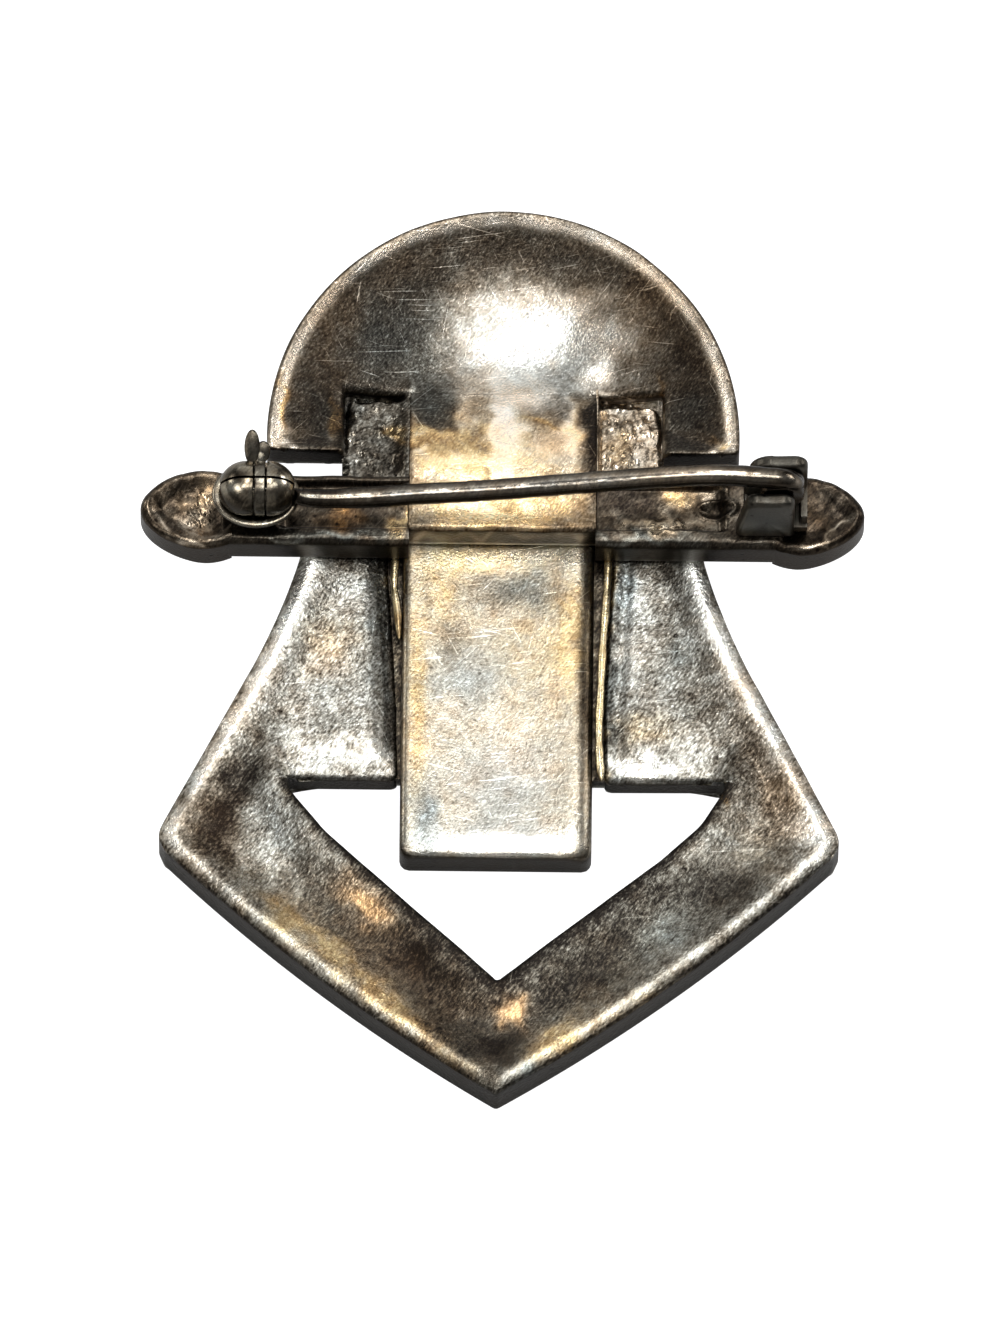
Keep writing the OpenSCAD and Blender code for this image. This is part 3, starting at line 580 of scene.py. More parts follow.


# Shield: the wings and the arms as one strip round the cut-out. Slopes are depth, width and power,
# and grooves are the wings' sinking on the left and on the right. Under the stones the wings' channel
# takes over from the arms' at the channel's turn. Painted highlight bands are a distance from the edge,
# width and light; the cut-out's painted shade line is a width and darkness.
shield = {
    "neckX": 10.35, "cornerX": 17.5, "cornerY": -17.5, "tipY": -31.8, "lowerBow": 0.65, "flareRadius": 35,
    "flareAngles": (15.5, 28), "outerRound": 0.3, "innerRound": 0.26, "columns": 760, "middle": 46,
    "dish": 0.36, "dishFrom": (0.5, 2.7), "waves": 0.035, "grooves": (0.55, 0.1), "grooveLip": (0.75, 0.36),
    "wingFrom": (-19.5, -17), "wingSlope": (0.26, 0.66, 1.12), "wingTopLess": 0.06, "wingRound": 0.07,
    "armSlope": (0.24, 0.85, 2.0), "armRound": 0.13, "cutX": 0.3, "cutTop": -14.02, "cutWide": 11.5,
    "cutSlope": (0.42, 2.3, 2.0), "channel": 0.42, "channelFrom": (0.42, 0.6),
    "channelTurn": (-14.6, -13.4), "armChannelTo": (4.02, 3.84), "wingChannelTo": (2.34, 2.16), "tone": 0.6,
    "gold": 0.05, "wallShadeTone": 0.9,
    "grooveWide": 1.9, "grooveEnd": (-14.3, -11.5), "lipEnd": (-14.0, -12.5), "wingTop": (-9, -1),
    "cutFade": (11.9, 10.3), "cutAbove": (-1.0, 0.3), "cutSlopeFade": (11.6, 10.4), "armFrom": (-17.5, -21),
    "wingHighlight": (0.75, 0.42, 0.4), "edgeHighlight": (0.55, 0.3, 0.36), "armHighlight": (1.5, 0.7, 0.14),
    "armTone": 0.24, "cutShadeLine": (0.45, 0.45), "cutLineTop": -14.3,
    # The light ovals along the foot of both wings (at 350,757 and 650,770) are painted highlights on their
    # rounded shoulders.
    "tonePatches": [
        (345, 590, 40, 34, 0, -0.16), (335, 650, 34, 30, 0, -0.06), (330, 705, 50, 34, 0, -0.12),
        (270, 690, 26, 30, 0, -0.04), (379, 650, 10, 60, -4, 0.06), (394, 670, 8, 70, -3, 0.06),
        (396, 735, 7, 26, 0, 0.08), (385, 600, 8, 60, 0, 0.04), (350, 757, 54, 18, -2, -0.34),
        (300, 752, 24, 18, 0, -0.16), (345, 565, 46, 6, 0, 0.14), (240, 780, 24, 50, 24, 0.3),
        (215, 832, 34, 46, 20, 0.34), (262, 740, 12, 30, 20, 0.14), (275, 815, 20, 36, 0, -0.02),
        (278, 860, 30, 22, 40, -0.06), (285, 885, 50, 22, 30, -0.1), (365, 903, 18, 32, -48, -0.42),
        (330, 945, 60, 12, 42, -0.16), (285, 925, 40, 9, 42, -0.14), (420, 960, 60, 26, 42, 0.18),
        (440, 1030, 36, 26, 30, 0.18), (400, 1010, 40, 9, 40, -0.12), (490, 1050, 40, 20, 0, 0.24),
        (512, 1010, 16, 14, 0, -0.34), (500, 990, 12, 12, 0, 0.1), (560, 1035, 34, 14, -32, -0.14),
        (525, 1070, 18, 8, -30, -0.2), (660, 930, 44, 22, -38, -0.16), (600, 960, 60, 20, -36, 0.12),
        (560, 990, 44, 16, -30, 0.1), (640, 1000, 60, 12, -36, -0.08), (725, 885, 40, 30, 0, 0.16),
        (690, 870, 30, 20, -40, 0.06), (650, 770, 50, 13, -2, -0.4), (640, 600, 14, 30, 8, -0.22),
        (630, 665, 14, 30, 0, -0.18), (650, 730, 26, 14, 0, -0.04), (675, 585, 22, 26, 0, 0.14),
        (680, 655, 20, 16, 0, 0.12), (610, 690, 6, 90, 2, 0.26), (700, 700, 18, 50, -10, 0.12),
        (740, 760, 34, 50, -20, 0.16), (770, 830, 30, 34, 0, 0.14), (808, 832, 14, 22, -30, -0.42),
        (700, 745, 18, 12, 0, -0.12), (300, 790, 20, 10, 0, 0.12), (722, 800, 16, 16, 0, 0.1)],
    "gritPatches": [
        (280, 930, 60, 50, 40, -0.5), (400, 980, 130, 60, 40, -0.55), (500, 1050, 60, 40, 0, -0.5),
        (620, 980, 130, 60, -36, -0.45), (740, 880, 60, 60, 0, -0.4), (210, 830, 40, 50, 0, -0.3)],
    "goldPatches": [
        (330, 640, 30, 30, 0, 0.35), (394, 580, 6, 24, -4, 1.2), (608, 600, 5, 50, 7, 1.4),
        (600, 700, 5, 90, -1, 1.4), (330, 945, 80, 16, 42, 0.8), (400, 1010, 60, 12, 38, 0.8),
        (280, 915, 40, 14, 42, 0.6), (560, 1035, 40, 16, -32, 1.0), (400, 960, 140, 60, 38, 0.22),
        (600, 980, 110, 50, -36, 0.16), (512, 1010, 17, 17, 0, 0.55), (365, 903, 18, 32, -48, 0.45),
        (640, 730, 30, 16, 0, 0.5), (450, 1060, 30, 14, 30, 0.5), (293, 796, 8, 6, 45, 1.0),
        (722, 796, 6, 10, 20, 1.0), (640, 1010, 60, 14, -36, 0.45), (760, 850, 30, 30, 0, 0.2)],
    "warmPatches": [
        (212, 830, 40, 60, 20, 0.7), (240, 700, 30, 60, 25, 0.45), (330, 650, 30, 30, 0, 0.3),
        (380, 640, 14, 60, 0, -0.5), (275, 820, 22, 36, 0, -0.6), (395, 680, 8, 70, 0, 0.5),
        (420, 970, 90, 40, 40, 0.5), (365, 903, 20, 34, -48, 1.2), (512, 1010, 20, 20, 0, 1.0),
        (625, 590, 12, 30, 0, -1.2), (680, 655, 20, 16, 0, -0.7), (780, 800, 40, 60, -20, 0.8),
        (660, 930, 46, 26, -38, -0.9), (525, 1070, 18, 10, -30, -1.4), (740, 700, 20, 50, -20, 0.6),
        (610, 690, 8, 90, 2, -0.8)],
}


# Left half of the outer edge from the neck to the point: an arc, a straight flare and a bowed edge.
def shieldOuterLeft(s):
    r, (a0, a1) = s["flareRadius"], s["flareAngles"]
    top = np.array([s["neckX"], -1.8])
    centre = top + r * np.array([np.cos(np.radians(a0)), np.sin(np.radians(a0))])
    flare = arcPoints(centre, r, 180 + a0, 180 + a1, 40)
    start, end = np.array([s["cornerX"] - 0.1, s["cornerY"] - 0.5]), np.array([0.35, s["tipY"] + 0.22])
    chord = end - start
    t = np.linspace(0, 1, 90)[:, None]
    bulge = np.array([-chord[1], chord[0]]) / np.linalg.norm(chord)
    lower = start + chord * t + bulge * 4 * s["lowerBow"] * t * (1 - t)
    corner = roundPath([flare[-1], (s["cornerX"] - 0.02, s["cornerY"] + 0.05), lower[2]], 0.75, 14)
    right = np.concatenate([[[s["neckX"] - 0.05, 1.7]], flare, corner[1:-1], lower[2:]])
    return right * [-1, 1]


outerLeft = shieldOuterLeft(shield)
pointCap = roundPath([outerLeft[-1], (0, shield["tipY"]), outerLeft[-1] * [-1, 1]], 0.4, 9)
shieldOuter = np.concatenate([outerLeft[:-1], pointCap, outerLeft[::-1][1:] * [-1, 1]])
shieldInner = np.concatenate([
    roundPath([(-5.82, 1.7), (-5.8, -2.3), (-5.3, -9.6), (-5.2, -14.0), (-10.9, -14.0), (-10.7, -14.9),
               (-8.9, -17.2), (-0.3, -25.2)], 0.4),
    roundPath([(-0.3, -25.2), (0, -25.5), (0.35, -25.2)], 0.1, 4),
    roundPath([(0.35, -25.2), (8.2, -18.7), (10.3, -16.7), (11.6, -14.5), (11.3, -14.0), (5.35, -14.05),
               (5.28, -9.8), (5.66, -2.0), (5.75, 1.7)], 0.4)])
steps = np.linalg.norm(np.diff(shieldInner, axis=0), axis=1)
shieldInner = shieldInner[np.concatenate([[True], steps > 1e-6])]  # without doubled points
shieldInner = pointsAt(shieldInner, np.linspace(0, runLength(shieldInner)[-1], 700))
shieldPairs = [
    ((-10.3, 1.7), (-5.82, 1.7)), ((-13.9, -10.3), (-5.2, -13.9)), ((-16.9, -16.4), (-10.9, -14.2)),
    ((-17.4, -17.9), (-10.4, -15.2)), ((-8.5, -24.9), (-5.2, -20.7)), ((0, -31.8), (0, -25.5)),
    ((8.5, -24.9), (5.2, -21.2)), ((17.4, -17.9), (11.1, -15.3)), ((16.9, -16.4), (11.6, -14.3)),
    ((13.9, -10.3), (5.35, -13.9)), ((10.3, 1.7), (5.75, 1.7))]


# The back sinks from its rim into a shallow dish with hand waves, falls over worn edges, and sinks
# towards the grooves. The front is flat, with channels for the stones along its outer edge.
def makeShield(s):
    grid = pairedGrid(shieldOuter, shieldInner, shieldPairs, s["columns"], s["outerRound"], s["innerRound"],
                      s["middle"])
    xy = grid.reshape(-1, 2)
    x, y = xy[:, 0], xy[:, 1]
    outerAway, innerAway = distanceTo(shieldOuter[::2], xy), distanceTo(shieldInner[::2], xy)
    aside, overTop = np.abs(x - s["cutX"]), y - s["cutTop"]
    overCut = smoothStep(*s["cutFade"], aside) * smoothStep(*s["cutAbove"], overTop)
    across = np.minimum(outerAway, innerAway + 4 * overCut)
    back = shieldBack - s["dish"] * smoothStep(*s["dishFrom"], across) + handWaves(xy, 4.2, s["waves"], 3)
    back += handWaves(xy, 1.5, s["waves"] * 0.25, 8)
    # The wings sink towards the grooves: softly on the left, behind a narrow lip on the right.
    left = smoothStep(s["grooveWide"], 0.0, innerAway) ** 2 * (x < 0) * smoothStep(*s["grooveEnd"], y)
    right = softLine(innerAway, *s["grooveLip"]) * (x > 0) * (x < 8) * smoothStep(*s["lipEnd"], y)
    back -= s["grooves"][0] * left + s["grooves"][1] * right
    onWing = smoothStep(*s["wingFrom"], y)
    deep, wide, power = s["wingSlope"]
    deep = deep - s["wingTopLess"] * smoothStep(*s["wingTop"], y)
    back -= (edgeSlope(outerAway, deep, wide, power) + edgeFall(outerAway, s["wingRound"])) * onWing
    back -= (edgeSlope(outerAway, *s["armSlope"]) + edgeFall(outerAway, s["armRound"])) * (1 - onWing)
    underWing = (aside < s["cutWide"]) & (overTop > -0.1)
    cutFall = edgeSlope(overTop, *s["cutSlope"]) + edgeFall(overTop, s["armRound"])
    back -= np.where(underWing, cutFall * smoothStep(*s["cutSlopeFade"], aside), 0)
    back -= edgeFall(innerAway, s["innerRound"])
    wing = smoothStep(*s["channelTurn"], y)
    near = smoothStep(*s["channelFrom"], outerAway)
    front = s["channel"] * near * smoothStep(*s["armChannelTo"], outerAway) * (1 - wing)
    front = front + s["channel"] * wing * near * smoothStep(*s["wingChannelTo"], outerAway)
    front = front + edgeFall(outerAway, 0.22) + edgeFall(innerAway, 0.4)
    piece = sheetSolid("shieldBody", xy, gridQuads(*grid.shape[:2]), back, front)

    # Painted highlights in bands just inside the outer edge, and a painted shade line along the cut-out.
    def paintedEdgeLight(points):
        plan, y = points[:, :2], points[:, 1]
        outerGap, innerGap = distanceTo(shieldOuter[::2], plan), distanceTo(shieldInner[::2], plan)
        place, wide, light = s["wingHighlight"]
        bright = smoothStep(-19, -16, y) * softLine(outerGap, place, wide) * light * smoothStep(-17, -6, y)
        place, wide, light = s["edgeHighlight"]
        bright += softLine(outerGap, place, wide) * (light + 0.1 * handWaves(plan, 2.0, 1.0, 71))
        wide, dark = s["cutShadeLine"]
        dark = softLine(innerGap, 0, wide) * dark * (y < s["cutLineTop"])
        arms = smoothStep(*s["armFrom"], y)
        place, wide, light = s["armHighlight"]
        return dark - bright + s["armTone"] * arms - light * arms * softLine(outerGap, place, wide)

    paintMetal(piece, s, metals["shieldSilver"], paintedEdgeLight)
    return piece


shieldBody = makeShield(shield)
print("shield made")


# A plain flat sheet between two heights, which closes what lies behind the others.
def makePlainSheet(name, s, material):
    grid = boxGrid(*s["box"], *s["steps"], 0.1)
    xy = grid.reshape(-1, 2)
    back, front = (np.full(len(xy), high) for high in s["heights"])
    piece = sheetSolid(name, xy, gridQuads(*grid.shape[:2]), back, front, 2)
    paintMetal(piece, s, material)


# The web under the two grooves, between the column and the wings.
web = {
    "box": (-6.3, 6.1, -13.85, 1.6), "steps": (24, 30), "heights": (1.35, 0.5), "tone": 0.86, "gold": 0.35,
    "wallShadeTone": 0.9,
}
makePlainSheet("grooveWeb", web, metals["shieldSilver"])

# Golden solder lips along the wings' inner edges: routes in picture pixels, and heights.
lipLook = {"radius": 0.2, "tone": 0.3, "gold": 1.0, "wallShadeTone": 0.75, "wallUp": 0.6}
lips = {
    "lipRight": {
        "high": 2.2,
        "route": [
            (608, 556), (607, 580), (605, 610), (602, 650), (600, 690), (598, 730), (599, 762), (601, 781)]},
    "lipLeft": {
        "high": 2.12,
        "route": [(396, 556), (394, 572), (394, 590), (397, 612), (399, 640)],
        "tonePatches": [(398, 625, 8, 20, 0, 0.4)]},
}


# An uneven bead: rings square to its route, swelling as two sines of y, and running out at either
# end as the root of the way from it.
def makeLip(name, s):
    path = smoothRoute(pointsFromPicture(s["route"], s["high"]), 10)
    radius = s["radius"] * (1 + 0.10 * np.sin(path[:, 1] * 2.3) + 0.06 * np.sin(path[:, 1] * 5.9))
    end = np.minimum(np.arange(len(path)), np.arange(len(path))[::-1]) / 6.0
    radius = radius * np.sqrt(np.clip(end + 0.05, 0, 1))
    up = np.array([0, 0, 1.0])
    side = np.cross(directions(np.gradient(path, axis=0)), up)[:, None]
    piece = ringSolid(name, ringsAbout(path, radius, side, up, 20)[:, ::-1])
    paintMetal(piece, s, metals["columnSilver"])


for name, own in lips.items():
    makeLip(name, {**lipLook, **own})

# Column: a slab whose end slopes by a depth, over a width, with a power.
column = {
    "left": -5.08, "right": 4.74, "end": -18.5, "top": -1.0, "cornerRound": 0.6, "leftRound": 0.4,
    "rightRound": 0.75, "dish": 0.2, "waves": 0.02, "rightWide": 1.0, "endSlope": (0.4, 2.3, 2.0),
    "channel": 0.42, "channelAside": 3.6, "tone": 0.49, "gold": 0.34, "warm": 0.1, "wallShadeTone": 0.9,
    "sway": 1.2,
    "dishFrom": (0.2, 2.2), "channelHalf": (1.05, 0.9), "channelEnd": (0.35, 0.5),
    # The light band at the top (500,558) and the white band along the end (510,848) are painted highlights;
    # the dark strips along both long edges (at 401 and 584) are painted shade.
    "tonePatches": [
        (417, 700, 8, 100, 0, 0.06), (500, 780, 70, 60, 0, 0.05), (508, 548, 56, 5, 0, 0.05),
        (584, 700, 7, 80, -1, 0.4), (588, 600, 4, 60, 0, 0.14), (520, 592, 70, 22, 6, 0.15),
        (450, 640, 16, 26, 0, 0.14), (465, 680, 50, 40, 0, 0.06), (500, 558, 90, 12, 0, -0.3),
        (575, 560, 16, 24, 0, -0.14), (405, 580, 6, 60, 0, 0.1), (417, 700, 8, 90, 0, 0.03),
        (425, 820, 12, 40, 0, 0.12), (510, 848, 90, 12, 0, -0.42), (530, 760, 50, 50, 0, -0.05),
        (427, 605, 5, 30, 0, 0.14), (576, 640, 6, 26, 0, 0.12), (490, 600, 40, 24, 20, 0.04),
        (401, 700, 3, 130, 0, 0.3)],
    "goldPatches": [
        (470, 560, 70, 16, 0, 0.6), (445, 590, 20, 34, 0, 0.5), (566, 640, 16, 60, 0, 0.6),
        (417, 700, 10, 100, 0, 0.7), (530, 650, 40, 50, 0, 0.2), (515, 592, 50, 20, 0, -0.2),
        (470, 680, 50, 40, 0, -0.3), (500, 840, 100, 22, 0, -0.35), (500, 780, 80, 60, 0, -0.34),
        (575, 630, 8, 40, 0, 0.8), (425, 820, 14, 40, 0, -0.4)],
    "warmPatches": [
        (520, 590, 30, 18, 0, -0.7), (460, 680, 50, 30, 0, -0.5), (425, 820, 14, 40, 0, -1.0),
        (530, 760, 60, 60, 0, 0.1), (520, 810, 60, 20, 0, -0.3)],
}


# The back is hollowed as 1 - (x / half width)^2, waves gently and falls over its edges. The front
# has a channel for the stones on either side.
def makeColumn(s):
    grid = boxGrid(s["left"], s["right"], s["end"], s["top"], 70, 120, 1.4)
    x, y = grid.reshape(-1, 2).T
    # The lower corners are rounded by drawing the end rows in towards the middle.
    corner, half, mid = s["cornerRound"], (s["right"] - s["left"]) / 2, (s["right"] + s["left"]) / 2
    low = np.clip((s["end"] + corner - y) / corner, 0, 1)
    pull = corner * (1 - np.sqrt(np.maximum(1 - low ** 2, 0)))
    x = mid + (x - mid) * (half - pull) / half
    xy = np.column_stack([x, y])
    fromLeft, fromRight, fromEnd = x - (mid - half + pull), (mid + half - pull) - x, y - s["end"]
    hollow = 1 - ((x - mid) / half) ** 2
    back = shieldBack + 0.02 - s["dish"] * hollow * smoothStep(*s["dishFrom"], fromEnd)
    back += handWaves(xy, 5.0, s["waves"], 12) + handWaves(xy, 1.7, s["waves"] * 0.25, 5)
    back -= edgeFall(fromLeft, s["leftRound"]) + edgeFall(fromRight, s["rightRound"], s["rightWide"])
    back -= edgeSlope(fromEnd, *s["endSlope"]) + edgeFall(fromEnd, 0.16 + 0.05 * np.sin(x * 1.3 + 0.4), 0.2)
    row = np.abs(np.abs(x - mid) - s["channelAside"])
    front = s["channel"] * smoothStep(*s["channelHalf"], row) * smoothStep(*s["channelEnd"], fromEnd)
    front += edgeFall(fromLeft, 0.14) + edgeFall(fromRight, 0.14) + edgeFall(fromEnd, 0.3)
    piece = sheetSolid("columnSlab", xy, gridQuads(*grid.shape[:2]), back, front)
    paintMetal(piece, s, metals["columnSilver"])


makeColumn(column)
print("column made")

# Dome, with the plate that runs on into the crossbar. Dents are x, y, width and two slopes, and the
# plate's fall is a drop, its two ends along Y and a power.
dome = {
    "a": 12.13, "b": 12.9, "wide": 4.2, "foot": 3.36, "footWide": 0.9, "mid": (0, 9.6), "dish": 2.5,
    "wall": 0.9, "rim": 1.75, "notch": (4.85, 8.15, 7.4), "plateEnd": -1.12, "rimRound": 0.34,
    "rimRoll": (0.07, 1.0, 0.45), "notchRound": 0.5, "rimHighlight": 0.7, "columns": 370, "middle": 60,
    "plateRows": 80, "waves": 0.03, "channel": 0.42,
    "plateFall": (2.45, 1.8, 10.2, 1.1), "plateRun": (10.2, 7.2), "plateFront": 2.55, "borderHigh": 2.2,
    "border": (2.5, 2.3), "borderFoot": (3.3, 3.6), "channelFrom": (0.42, 0.6), "channelTo": (2.2, 2.02),
    "paintedRimLine": (0.5, 0.26),
    "dents": [(4.6, 8.25, 0.8, -0.2, 0.19), (2.4, 11.0, 0.8, -0.05, 0.05), (-3.4, 8.9, 0.6, 0.05, 0.05)],
    "tone": 0.81, "gold": 0.04, "warm": 0.45, "wallShadeTone": 0.92,
    # Among the tone patches, the light ovals on the bowl round 510,338 and 596,345 paint its highlight and
    # glow, the darker ovals towards the rim paint the dark reflection round it, and the thin lines at the
    # notch edges (at 410, 597 and 662) are painted highlight and shade.
    "tonePatches": [
        (510, 338, 76, 54, 0, -0.46), (596, 345, 50, 44, 20, -0.3), (594, 383, 20, 15, 10, -0.4),
        (560, 330, 50, 40, 0, -0.16), (540, 300, 90, 24, 0, -0.12), (500, 375, 60, 30, 0, -0.2),
        (538, 398, 24, 22, 0, -0.42), (620, 340, 22, 30, 0, -0.1), (390, 340, 46, 46, 0, 0.1),
        (420, 280, 60, 22, -20, 0.08), (560, 262, 90, 22, 10, 0.08), (690, 360, 24, 60, -12, 0.12),
        (640, 290, 40, 22, 35, 0.08), (320, 400, 22, 30, 0, 0.08), (330, 330, 26, 30, 0, -0.04),
        (502, 434, 21, 46, 0, -1.15), (500, 388, 60, 14, 0, -0.22), (556, 440, 26, 40, 0, -0.1),
        (466, 418, 11, 28, 4, -0.42), (545, 450, 30, 24, 0, -0.5), (570, 430, 8, 40, 0, -0.55),
        (424, 434, 34, 9, 8, -0.46), (448, 458, 40, 16, 0, -0.48), (432, 408, 20, 20, -20, 0.04),
        (590, 430, 7, 60, 0, 0.2), (416, 450, 8, 5, 0, -0.45), (400, 455, 12, 14, 0, 0.1),
        (490, 480, 100, 20, 0, -0.44), (490, 514, 100, 22, 0, -0.74), (575, 440, 10, 30, 0, -0.3),
        (470, 465, 80, 14, 0, -0.2), (505, 503, 16, 5, 0, 0.34), (325, 415, 40, 30, 0, 0.06),
        (700, 415, 40, 34, 0, 0.08), (282, 435, 14, 8, 0, -0.34), (332, 436, 8, 12, 0, -0.3),
        (662, 430, 4, 26, 0, -0.25), (595, 400, 8, 16, 0, 0.1), (410, 400, 4, 22, 0, -0.36),
        (597, 430, 5, 56, 0, 0.45), (415, 478, 14, 8, 0, -0.1), (486, 476, 6, 4, 0, 0.5)],
    # The narrow gold strips beside the notches, at x 335 and 661, are painted gold glints on the rolled
    # edges.
    "goldPatches": [
        (495, 440, 60, 40, 0, 0.75), (502, 434, 20, 44, 0, -0.6), (424, 436, 40, 14, 8, 1.1),
        (448, 458, 44, 18, 0, 0.7), (545, 424, 24, 6, 20, 0.8), (500, 505, 110, 44, 0, 1.2),
        (281, 405, 6, 28, 0, 1.2), (335, 415, 6, 22, 0, 1.2), (719, 443, 5, 5, 0, 1.2),
        (661, 396, 4, 18, 0, 1.2), (575, 430, 10, 40, 0, 0.5), (538, 392, 30, 20, 0, -0.9)],
    # Wall patches paint lighter reflections on the step below the plate and a darker shadow under the bar (at
    # 506,545).
    "wallLightAndShadePatches": [
        (424, 541, 24, 7, 0, -0.4), (575, 540, 14, 6, 0, -0.35), (500, 537, 60, 4, 0, -0.2),
        (506, 545, 50, 4, 0, 0.3)],
    "warmPatches": [
        (395, 437, 14, 12, 0, 1.2), (432, 405, 24, 24, 0, -1.1), (390, 345, 50, 50, 0, -1.1),
        (330, 320, 34, 50, 0, 0.5), (660, 300, 60, 60, 0, 0.4), (510, 330, 80, 50, 0, -0.4),
        (560, 370, 60, 40, 0, -0.5), (320, 410, 24, 30, 0, -0.5), (680, 420, 30, 30, 0, -0.4),
        (560, 440, 30, 20, 0, 0.5)],
}


# Half an ellipse from foot to foot, with rounded corners at both feet.
def domeOutline(s, count=241):
    start = np.degrees(np.arcsin((s["foot"] + 0.45 - s["wide"]) / s["b"]))
    angle = np.radians(np.linspace(180 - start, start, count))
    arch = np.stack([s["a"] * np.cos(angle), s["wide"] + s["b"] * np.sin(angle)], 1)
    low = roundPath([arch[0], (-s["a"] + 0.05, s["foot"]), (-s["a"] + s["footWide"], s["foot"])], 0.5, 9)
    return np.concatenate([low[::-1][:-1], arch, (low * [-1, 1])[1:]])


# How far out a plan point lies between the dome's middle and its edge, from 0 to 1.
def domeReach(s, xy):
    loop = domeOutline(s) - np.array(s["mid"])
    point = xy - np.array(s["mid"])
    turn = np.arctan2(point[:, 0], point[:, 1])
    arch = np.interp(turn, np.arctan2(loop[:, 0], loop[:, 1]), np.linalg.norm(loop, axis=1))
    foot = (s["foot"] - s["mid"][1]) / np.minimum(np.cos(turn), -1e-6)
    edge = np.where(np.abs(turn) > 2.0, np.minimum(arch, foot), arch)
    return np.linalg.norm(point, axis=1) / edge


# Fall of the plate from the bar's level towards the dome: a drop times a power of a smooth step.
def plateFall(y):
    drop, start, stop, power = dome["plateFall"]
    return drop * smoothStep(start, stop, y) ** power


# The bowl is a paraboloid, dish * (1 - reach^2) deep, that runs out onto the plate; a low roll, hand
# waves and dents lie on it, and all its edges fall away as quarter ellipses.
def makeDome(s):
    inX, outX, topY = s["notch"]
    outer = domeOutline(s)
    notches = [(-outX, s["foot"]), (-outX, topY), (-inX, topY), (inX, topY), (outX, topY), (outX, s["foot"])]
    inner = roundPath(notches, 0.22, 6)
    inner = pointsAt(inner, np.linspace(0, runLength(inner)[-1], 1201))
    pairs = [(outer[0], (-outX, s["foot"])), ((-11.7, 7.6), (-outX, topY)), ((-9.4, 12.4), (-inX, topY)),
             ((9.4, 12.4), (inX, topY)), ((11.7, 7.6), (outX, topY)), (outer[-1], (outX, s["foot"]))]
    grid = pairedGrid(outer, inner, pairs, s["columns"], s["rimRound"], s["notchRound"], s["middle"])
    nu, nv = grid.shape[:2]
    seam = grid[:, -1]
    inside = np.where((np.abs(seam[:, 0]) <= inX - 0.10) & (np.abs(seam[:, 1] - topY) < 0.02))[0]
    u0, u1 = inside[0], inside[-1]
    seamX = seam[u0:u1 + 1, 0]
    plateX = seamX * inX / abs(seamX[0])
    v = acrossSteps([topY - s["plateEnd"]], 0.1, 0.35, s["plateRows"])[0][1:]
    drop = smoothStep(0, 0.04, v)
    x = seamX[:, None] * (1 - drop) + plateX[:, None] * drop
    plate = np.stack([x, np.broadcast_to(topY + (s["plateEnd"] - topY) * v, x.shape)], -1)
    rows, cols = plate.shape[:2]
    xy = np.concatenate([grid.reshape(-1, 2), plate.reshape(-1, 2)])
    first = nu * nv
    seamIds = np.arange(u0, u1 + 1) * nv + nv - 1
    plateIds = first + np.arange(rows) * cols
    join = np.stack([seamIds[:-1], seamIds[1:], plateIds[1:], plateIds[:-1]], 1)
    quads = np.concatenate([gridQuads(nu, nv), gridQuads(rows, cols, first), join])
    reach = domeReach(s, xy)
    x, y = xy[:, 0], xy[:, 1]
    onPlate = (np.abs(x) < inX + 0.2) & (y < topY)
    bowl = barBack - s["dish"] * (1 - np.clip(reach, 0, 1) ** 2)
    # On the plate the bowl runs out to the bar's level in one smooth curve.
    easy = barBack + 0.03 - plateFall(y)
    run = smoothStep(*s["plateRun"], y) * smoothStep(inX + 1.9, inX + 0.1, np.abs(x))
    bowl = np.where(onPlate | (y > topY), bowl * (1 - run) + easy * run, bowl)
    archAway = distanceTo(outer[::2], xy)
    footLine = np.array([[-outX, s["foot"]], [-s["a"] + s["footWide"], s["foot"]]])
    footAway = np.minimum(distanceTo(footLine, xy), distanceTo(footLine * [-1, 1], xy))
    notchLine = inner[np.abs(inner[:, 0]) > inX - 0.25]
    half = len(notchLine) // 2
    notchAway = np.minimum(distanceTo(notchLine[:half:2], xy), distanceTo(notchLine[half::2], xy))
    back = bowl + handWaves(xy, 3.4, s["waves"], 21) + handWaves(xy, 1.3, s["waves"] * 0.2, 22)
    back += np.where(onPlate, handWaves(xy, 1.0, 0.010, 23) * smoothStep(topY, topY - 1.5, y), 0)
    roll, rollFrom, rollTo = s["rimRoll"]
    back += roll * smoothStep(rollFrom, rollTo, archAway)
    for dentX, dentY, wide, slopeX, slopeY in s["dents"]:
        near = np.exp(-((x - dentX) ** 2 + (y - dentY) ** 2) / (2 * wide ** 2))
        back += near * (slopeX * (x - dentX) + slopeY * (y - dentY))
    sideLine = np.array([[-inX, topY], [-inX, s["plateEnd"]]])
    plateAway = np.minimum(distanceTo(sideLine, xy), distanceTo(sideLine * [-1, 1], xy))
    endAway = np.abs(y - s["plateEnd"])
    back -= edgeFall(archAway, s["rimRound"]) + edgeFall(footAway, 0.3)
    plateRim = edgeFall(plateAway, 0.22) + edgeFall(endAway, 0.3)
    back -= np.where(onPlate, plateRim, edgeFall(notchAway, s["notchRound"]))
    front = np.minimum(bowl - s["wall"], barBack - s["rim"])
    border = smoothStep(*s["border"], archAway) * smoothStep(*s["borderFoot"], y)
    channel = smoothStep(*s["channelFrom"], archAway) * smoothStep(*s["channelTo"], archAway)
    front = front * (1 - border) + s["borderHigh"] * border + s["channel"] * channel * border
    front = front + edgeFall(archAway, 0.12)
    front = np.where(onPlate & (y < 4.2), np.maximum(front, s["plateFront"]), front)
    piece = sheetSolid("domeShell", xy, quads, back, front)

